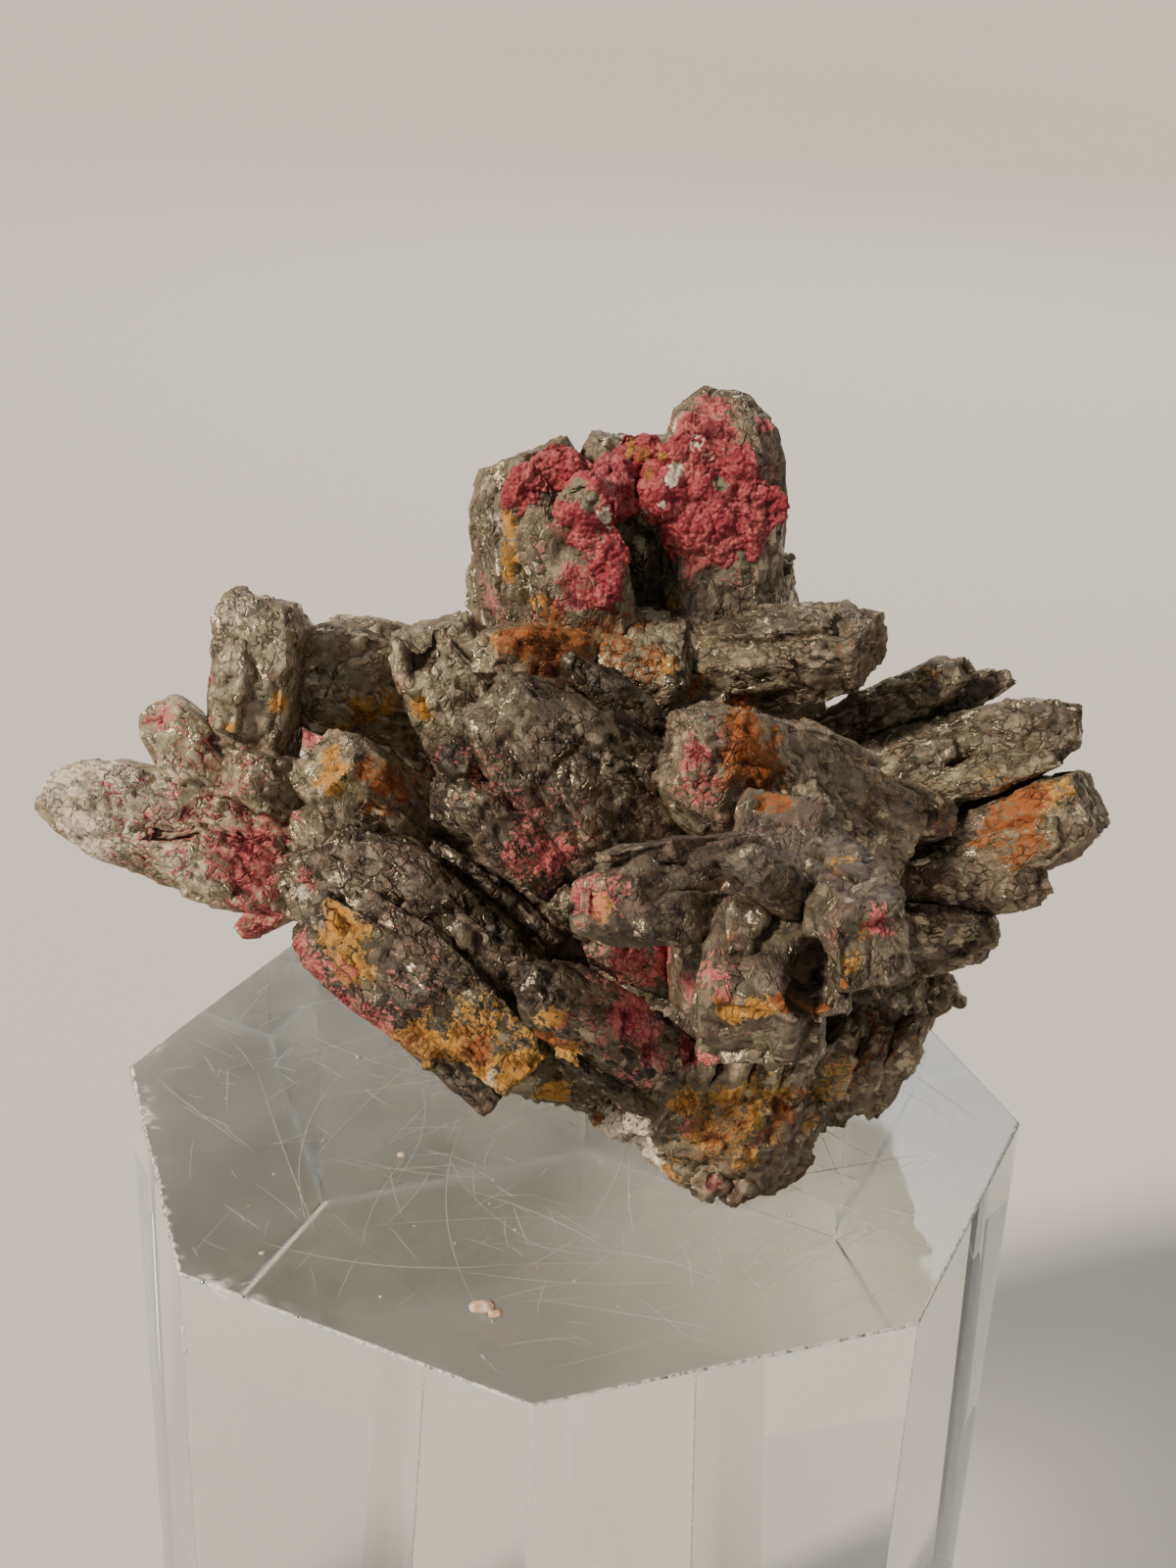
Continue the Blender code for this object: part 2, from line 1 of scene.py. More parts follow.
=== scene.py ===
"""Cinnabar on marcasite on its clear eight-sided display block, dressed for rendering.

Every crystal, plate, lump and knob is a closed surface on a grid, worked out
from the same corners as its solid, then given the flaky relief of marcasite
and the stains of cinnabar, rust, ochre and pale matrix. Sizes in the tables
are in millimetres with z = 0 on the block's top, and become metres in the
row frame when a mesh is made.
"""

import math
import random
from collections import namedtuple
from functools import partial

import bpy
import numpy as np
from bpy.props import FloatProperty, FloatVectorProperty, PointerProperty
from mathutils import Matrix, Vector


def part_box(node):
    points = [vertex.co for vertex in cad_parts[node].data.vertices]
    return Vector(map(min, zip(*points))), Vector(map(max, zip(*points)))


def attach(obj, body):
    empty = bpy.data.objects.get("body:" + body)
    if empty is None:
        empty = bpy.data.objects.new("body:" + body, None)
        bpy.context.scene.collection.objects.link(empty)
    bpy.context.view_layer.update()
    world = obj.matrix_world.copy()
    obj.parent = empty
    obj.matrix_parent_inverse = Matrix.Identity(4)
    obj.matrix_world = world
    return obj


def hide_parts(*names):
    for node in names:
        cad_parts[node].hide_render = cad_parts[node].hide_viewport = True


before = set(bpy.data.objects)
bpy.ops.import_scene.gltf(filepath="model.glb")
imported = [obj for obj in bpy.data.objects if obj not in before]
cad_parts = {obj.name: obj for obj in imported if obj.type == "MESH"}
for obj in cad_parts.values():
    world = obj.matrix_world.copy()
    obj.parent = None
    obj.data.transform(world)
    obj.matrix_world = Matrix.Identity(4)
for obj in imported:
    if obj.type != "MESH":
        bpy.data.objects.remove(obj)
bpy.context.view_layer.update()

bl_info = {
    "name": "Cinnabar on marcasite",
    "version": (1, 0, 0),
    "blender": (4, 5, 0),
    "location": "View3D > Sidebar > Specimen",
    "description": "Grows a cinnabar-coated marcasite specimen on a clear display block",
    "category": "Add Mesh",
}

BLOCK_LOW, BLOCK_HIGH = (np.array(corner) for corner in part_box("clear_block"))
BLOCK_TOP = float(BLOCK_HIGH[2])
# The solid's corners are cut by its eased edges, which takes this much off its half width in millimetres
BLOCK_SLACK = 0.14
MM = 0.001

# A crystal is a flat bar. Its long edges are cut off by these shares of its lesser half size,
# its corners wander by this share, and its end slopes by up to this much
EDGE_CUT = (0.16, 0.50)
WOBBLE = 0.045
END_SLOPE = 0.28

# The plates that stand out of a large crystal's sides, as shares of its length and of that side
LEDGE_LENGTH = (0.38, 0.64)
LEDGE_WIDTH = (0.38, 0.62)
LEDGE_DEPTH = (0.24, 0.36)
LEDGE_PROUD = 0.40
LEDGE_ALONG = (0.40, 0.66)
LEDGE_ACROSS = 0.22
LEDGE_TILT = 0.07

# How finely a lump and a small knob are faceted
LUMP_SIDES = 8
LUMP_RINGS = 5
LUMP_WOBBLE = 0.08
KNOB_SIDES = 6
KNOB_RINGS = 3
KNOB_WOBBLE = 0.14

# Which way a crystal's broad side looks
FRONT = (0.0, -0.91, 0.41)
UP = (0.0, -0.35, 0.94)
LEFT_UP = (-0.62, -0.52, 0.58)
BACK = (0.0, 0.91, 0.41)
BACK_UP = (0.0, 0.45, 0.89)

# Outlines along a crystal: (share of the length from its base, share of its width)
SPEAR = ((0.0, 0.76), (0.50, 1.00), (0.84, 0.84), (1.0, 0.42))
CLUB = ((0.0, 0.20), (0.13, 0.50), (0.28, 0.80), (0.52, 1.00), (0.80, 0.98), (1.0, 0.55))
BLOCKY = ((0.0, 0.88), (0.40, 1.00), (0.86, 0.98), (1.0, 0.74))
WEDGE = ((0.0, 0.90), (0.48, 1.00), (0.80, 0.78), (1.0, 0.40))
LOAF = ((0.0, 0.92), (0.60, 1.00), (0.86, 0.84), (1.0, 0.50))
TOWER = ((0.0, 0.96), (0.45, 1.00), (0.80, 0.99), (0.91, 0.84), (1.0, 0.38))
SHARD = ((0.0, 0.90), (0.45, 1.00), (0.84, 0.80), (1.0, 0.38))
PLATE = ((0.0, 0.74), (0.66, 1.00), (1.0, 0.46))

# How a surface is weathered: the size of its tiles across, how much longer they are along, how high they
# stand, how high the broad facets under them stand, how light the metal is from 0 to 1, how crisp its fine
# tiles are, and how often its corners are cut round
Skin = namedtuple("Skin", "tile stretch rise facet tone crisp rounds")
SPARKLING = Skin(0.95, 1.9, 0.30, 0.30, 0.84, 1.0, 1)
GRANULAR = Skin(0.85, 1.3, 0.26, 0.46, 0.54, 0.9, 0)
RUGGED = Skin(0.95, 1.7, 0.34, 0.55, 0.24, 1.0, 1)
TILED = Skin(0.85, 1.2, 0.28, 0.34, 0.42, 1.0, 0)
STRIATED = Skin(0.85, 2.3, 0.28, 0.30, 0.46, 0.9, 0)
SMOOTH = Skin(1.10, 1.2, 0.22, 0.52, 0.24, 0.75, 0)
EARTHY = Skin(1.00, 1.0, 0.46, 0.60, 0.42, 0.8, 1)
UNSEEN = Skin(0.95, 1.4, 0.30, 0.40, 0.48, 1.0, 1)
FACET = 3.2
GROOVE = 0.14
SINK = 0.06
ROUND_CUT = 0.13

# end is the slope of a crystal's end, across it and through it; None leaves it to the crystal's seed
Crystal = namedtuple("Crystal", "name base tip width depth faces form ledges end", defaults=(None,))

# Each piece's crystals, and the skin that they share
CRYSTALS = {
    # The arm that reaches out to the left, and what grows on it
    "left_arm_crystals": (SPARKLING, (
        Crystal("left_arm", (-12.0, 1.0, 14.8), (-35.2, -5.0, 24.3), 7.8, 7.0, FRONT, SPEAR, 3),
        Crystal("left_arm_upper", (-18.0, 0.5, 14.5), (-28.1, -2.2, 29.0), 4.8, 5.6, FRONT, BLOCKY, 1),
        Crystal("left_arm_foot", (-15.0, -0.5, 18.0), (-22.2, -6.8, 15.4), 2.8, 3.0, FRONT, SHARD, 0),
    )),
    # The blocky crystals above the arm
    "upper_left_crystals": (GRANULAR, (
        Crystal("upper_left_slab", (-22.3, -0.5, 25.2), (-21.6, 1.5, 36.2), 6.0, 7.2, FRONT, BLOCKY, 1,
                (-0.12, 0.1)),
        Crystal("upper_left_body", (-8.0, 9.0, 26.2), (-20.5, 3.6, 30.2), 7.6, 7.4, FRONT, BLOCKY, 2),
        Crystal("upper_middle", (-4.5, 2.5, 20.0), (-10.8, 2.8, 34.4), 7.2, 7.0, FRONT, BLOCKY, 2,
                (-0.1, 0.1)),
        Crystal("left_cube", (-14.0, 2.0, 21.0), (-22.8, -4.6, 26.0), 4.4, 4.6, FRONT, BLOCKY, 0),
        Crystal("ochre_block", (-7.0, 2.0, 16.5), (-16.4, -6.0, 27.8), 5.8, 6.0, FRONT, BLOCKY, 1),
        Crystal("ochre_knob", (-11.0, -2.0, 21.0), (-17.3, -7.8, 23.6), 3.3, 3.6, FRONT, BLOCKY, 0),
    )),
    # The broad spear at the lower left, its flank, and the blade in front of it
    "lower_left_crystals": (RUGGED, (
        Crystal("lower_left_spear", (2.5, -9.2, 6.0), (-17.4, -6.4, 22.1), 10.6, 9.2, FRONT, CLUB, 4),
        Crystal("lower_left_flank", (-7.6, -11.8, 11.0), (-16.6, -10.8, 19.2), 4.6, 4.8, FRONT, BLOCKY, 0),
        Crystal("front_left_blade", (9.6, -9.5, 6.4), (-2.2, -17.7, 19.7), 5.2, 5.6, LEFT_UP, SPEAR, 1),
    )),
    # The large crystals of the middle
    "middle_crystals": (RUGGED, (
        Crystal("middle_large", (10.5, -1.0, 16.5), (-5.6, -8.6, 33.4), 11.6, 9.2, FRONT, WEDGE, 5),
        Crystal("middle_knob", (-2.0, -4.0, 25.0), (-8.4, -9.2, 30.4), 3.2, 3.2, FRONT, SHARD, 0),
        Crystal("middle_small", (-1.0, -2.0, 21.0), (-8.6, -8.5, 26.6), 3.8, 4.0, FRONT, BLOCKY, 1),
        Crystal("low_shard", (5.0, -5.0, 15.5), (-0.6, -12.0, 22.0), 3.6, 3.6, FRONT, SHARD, 0),
        Crystal("low_shard_second", (8.0, -7.0, 14.0), (2.0, -14.6, 20.4), 3.6, 3.8, FRONT, SHARD, 0),
    )),
    "domed_crystal": (GRANULAR, (
        Crystal("domed", (19.5, -1.0, 21.5), (5.8, -10.6, 32.0), 9.2, 8.6, FRONT, LOAF, 2),
        Crystal("finger", (15.5, -10.5, 23.5), (14.0, -12.4, 30.4), 2.1, 3.2, FRONT, BLOCKY, 0),
    )),
    # The group that stands out towards the viewer
    "foreground_crystals": (SMOOTH, (
        Crystal("front_stem", (10.0, -2.0, 14.5), (12.0, -23.0, 24.2), 9.8, 7.4, UP, BLOCKY, 1),
        Crystal("front_dark", (15.5, -15.0, 26.0), (1.2, -24.7, 28.2), 5.8, 6.0, FRONT, SPEAR, 2),
        Crystal("front_left_lobe", (12.8, -13.5, 28.6), (10.6, -28.6, 23.2), 6.6, 6.4, UP, BLOCKY, 1),
        Crystal("front_ridge", (16.0, -20.0, 25.5), (10.2, -25.0, 31.6), 3.0, 3.6, FRONT, BLOCKY, 0),
        Crystal("front_right_lobe", (14.5, -12.0, 25.4), (17.0, -28.0, 28.6), 5.8, 5.6, UP, BLOCKY, 1),
        Crystal("front_low_lobe", (10.5, -15.0, 18.5), (12.0, -27.6, 22.4), 7.2, 3.6, UP, BLOCKY, 1),
        Crystal("front_corner", (14.0, -20.0, 22.5), (15.6, -28.4, 25.2), 2.8, 2.6, UP, SHARD, 0),
    )),
    # The blades of the right side
    "right_crystals": (TILED, (
        Crystal("right_flat", (2.0, 8.0, 30.4), (18.5, 2.0, 34.3), 5.8, 5.4, UP, BLOCKY, 2, (-0.3, 0.1)),
        Crystal("right_back_small", (15.5, 9.5, 24.5), (25.6, 6.5, 32.0), 3.6, 4.2, FRONT, SPEAR, 1),
        Crystal("right_back_dark", (13.0, 10.5, 22.5), (29.4, 10.0, 30.4), 3.4, 4.4, FRONT, SPEAR, 1),
        Crystal("right_spear", (13.0, 7.5, 20.0), (33.2, 3.5, 29.6), 7.0, 6.2, FRONT, SPEAR, 3),
        Crystal("right_spear_lobe", (17.0, 5.5, 22.5), (24.5, -0.8, 23.9), 4.2, 4.2, FRONT, LOAF, 0),
        Crystal("right_low_spear", (20.0, 5.0, 14.5), (33.9, -0.4, 25.7), 5.8, 6.4, FRONT, BLOCKY, 1),
        Crystal("right_shaded", (19.0, 2.0, 17.6), (31.6, -1.4, 20.4), 5.4, 5.6, FRONT, SPEAR, 0),
        Crystal("right_shaded_low", (17.0, 0.0, 13.0), (28.4, -3.0, 17.0), 5.2, 5.4, FRONT, SPEAR, 0),
    )),
    # The upright pair at the top, the bridge between them and what they stand on
    "upright_crystals": (STRIATED, (
        Crystal("tower_left", (-2.3, 7.5, 28.0), (-5.4, 10.4, 44.4), 8.6, 7.4, FRONT, BLOCKY, 0,
                (0.26, 0.0)),
        Crystal("tower_left_lobe", (0.5, 4.0, 31.5), (-2.0, 5.2, 42.2), 6.4, 5.0, FRONT, BLOCKY, 0),
        Crystal("tower_right", (8.8, 8.0, 28.0), (8.1, 12.6, 48.9), 8.2, 8.0, FRONT, TOWER, 0, (-0.2, 0.0)),
        Crystal("tower_bridge", (2.4, 11.5, 32.0), (2.0, 12.6, 45.4), 7.8, 4.6, FRONT, BLOCKY, 0,
                (-0.05, 0.0)),
        Crystal("tower_left_plate", (-4.6, 9.0, 27.0), (-7.2, 12.6, 41.0), 4.6, 5.0, FRONT, BLOCKY, 0,
                (0.3, 0.0)),
        Crystal("tower_back_plate", (2.5, 12.0, 27.0), (-2.0, 15.2, 40.5), 7.4, 3.6, BACK, BLOCKY, 0),
        Crystal("tower_right_plate", (10.5, 10.5, 27.0), (10.4, 15.4, 43.5), 5.6, 4.2, BACK, BLOCKY, 0),
    )),
    "rusty_crystals": (GRANULAR, (
        Crystal("rust_top", (4.0, 6.5, 30.0), (-6.6, -1.8, 34.2), 5.1, 5.2, FRONT, LOAF, 0),
        Crystal("under_towers", (2.0, 5.5, 25.0), (3.6, 2.6, 34.8), 7.6, 6.4, FRONT, BLOCKY, 1),
    )),
    # The unseen far side, which fans out as the near side does
    "far_side_crystals": (UNSEEN, (
        Crystal("back_left", (-5.0, 6.0, 18.0), (-23.0, 17.5, 22.5), 7.8, 6.8, BACK_UP, SPEAR, 1),
        Crystal("back_left_low", (-3.0, 7.0, 11.0), (-16.0, 17.0, 9.5), 6.8, 6.0, BACK, BLOCKY, 0),
        Crystal("back_middle", (2.0, 8.0, 20.0), (-3.0, 26.5, 23.5), 8.4, 7.4, BACK_UP, WEDGE, 2),
        Crystal("back_high_left", (0.0, 9.0, 26.0), (-9.5, 20.5, 33.5), 6.8, 6.0, BACK, SPEAR, 1),
        Crystal("back_high_right", (8.0, 9.0, 26.0), (13.0, 22.5, 33.5), 7.2, 6.4, BACK, SPEAR, 1),
        Crystal("back_right", (10.0, 8.0, 18.0), (21.5, 22.0, 21.5), 7.6, 6.6, BACK_UP, SPEAR, 0),
        Crystal("back_right_low", (11.0, 7.0, 11.0), (25.0, 13.5, 13.0), 6.6, 5.8, BACK, BLOCKY, 0),
        Crystal("back_low", (5.0, 8.0, 9.0), (6.5, 22.5, 9.5), 8.0, 6.6, BACK_UP, LOAF, 0),
    )),
}

Lump = namedtuple("Lump", "name centre radii")

# The core that the crystals spring from, and the matrix under it
LUMPS = (
    Lump("core_low", (8.5, -0.5, 9.5), (12.5, 10.5, 9.0)),
    Lump("core_middle", (4.0, 1.5, 19.0), (16.5, 9.5, 9.5)),
    Lump("core_high", (4.5, 6.5, 29.0), (12.0, 6.0, 6.5)),
    Lump("base_front", (11.0, -7.0, 5.0), (8.1, 6.1, 7.7)),
    Lump("base_left", (1.5, 1.8, 4.4), (9.6, 6.2, 6.2)),
    Lump("base_right", (18.4, 0.4, 9.4), (7.6, 7.2, 7.2)),
    Lump("base_back", (9.0, 8.0, 4.6), (9.5, 7.0, 6.6)),
)
# Crystals hide most of these, so their grid is wider
HIDDEN_LUMPS = ("core_low", "core_middle", "core_high", "base_back")

# Knobs of matrix scattered over a lump: (lump, how many). Their spread is in shares of a quarter turn
# up and of a half turn round, and their centres lie at a share of the lump's radii
KNOBBED = (("base_front", 12), ("base_right", 6), ("base_back", 4), ("base_left", 4))
KNOB_SIZE = (1.3, 2.2)
KNOB_SPREAD = ((-0.85, 0.15), (-1.0, 1.0))
KNOB_DISTANCE = 0.9
KNOB_FLATNESS = 0.8

# The row of upright plates along the base's front edge, from left to right
COMB_PLATES = 8
COMB_TOP_LEFT = (7.4, -12.9, 13.2)
COMB_TOP_RIGHT = (23.1, -7.4, 12.4)
COMB_HEIGHT = 7.6
COMB_LEAN = (-0.30, 0.36)
COMB_WIDTH = (2.0, 2.9)
COMB_DEPTH = 4.6
COMB_SHIFT_BACK = (-0.6, 0.6)
COMB_SHIFT_UP = (-1.0, 0.9)
COMB_STRETCH = (0.85, 1.1)

# Pits and clefts in the surface: (centre, radii)
PITS = (
    ((-11.2, -0.6, 33.6), (1.3, 1.8, 2.3)),
    ((-17.8, -3.0, 28.4), (0.9, 1.3, 1.1)),
    ((13.9, -27.2, 26.0), (1.5, 3.4, 1.9)),
    ((27.5, 1.9, 26.6), (3.2, 1.1, 0.7)),
    ((-26.5, -6.8, 22.4), (2.8, 1.0, 0.7)),
)

# The cinnabar that is thick enough to stand out. Each spot lies on the broad side of a crystal:
# (crystal, how far across it from its middle line, share of its length, radius)
CRUST_SPOTS = (
    ("tower_right", -2.2, 0.56, 2.4),
    ("tower_right", 0.6, 0.54, 2.4),
    ("tower_right", 2.0, 0.64, 2.3),
    ("tower_right", -1.2, 0.66, 2.6),
    ("tower_right", 0.6, 0.74, 2.4),
    ("tower_right", -2.4, 0.78, 2.3),
    ("tower_bridge", 0.4, 0.84, 2.9),
    ("tower_left", 2.4, 0.90, 2.4),
    ("tower_left", 0.0, 0.84, 2.2),
    ("tower_left_lobe", 1.2, 0.96, 2.5),
    ("tower_left_lobe", 1.8, 0.74, 2.1),
    ("tower_left_lobe", 1.2, 0.56, 2.0),
)
# Spots that fill the corners between the upright crystals: (centre, radius)
CRUST_CORNERS = (
    ((-0.6, 4.4, 43.0), 2.3),
    ((0.6, 7.4, 43.0), 2.6),
    ((4.4, 7.8, 42.9), 2.6),
)
CRUST_THICKNESS = 0.55
# Where marcasite shows through the thick cinnabar: (x, y, z, radius)
BARE_SPOTS = (
    (8.1, 6.2, 44.1, 0.6), (-1.7, 2.7, 44.2, 1.1), (-0.5, 1.8, 43.6, 0.8), (-3.3, 6.4, 42.0, 1.0), (0.4, 1.7, 41.4, 0.5),
    (10.9, 7.9, 45.4, 1.0), (12.1, 7.0, 38.5, 1.4), (7.6, 8.6, 46.8, 0.8),
)
# How much flatter than their solids the spots on broad sides are
CRUST_SETTLED = 0.64
CORNER_SETTLED = 0.92
CRUST_SIDES = 7
CRUST_RINGS = 4

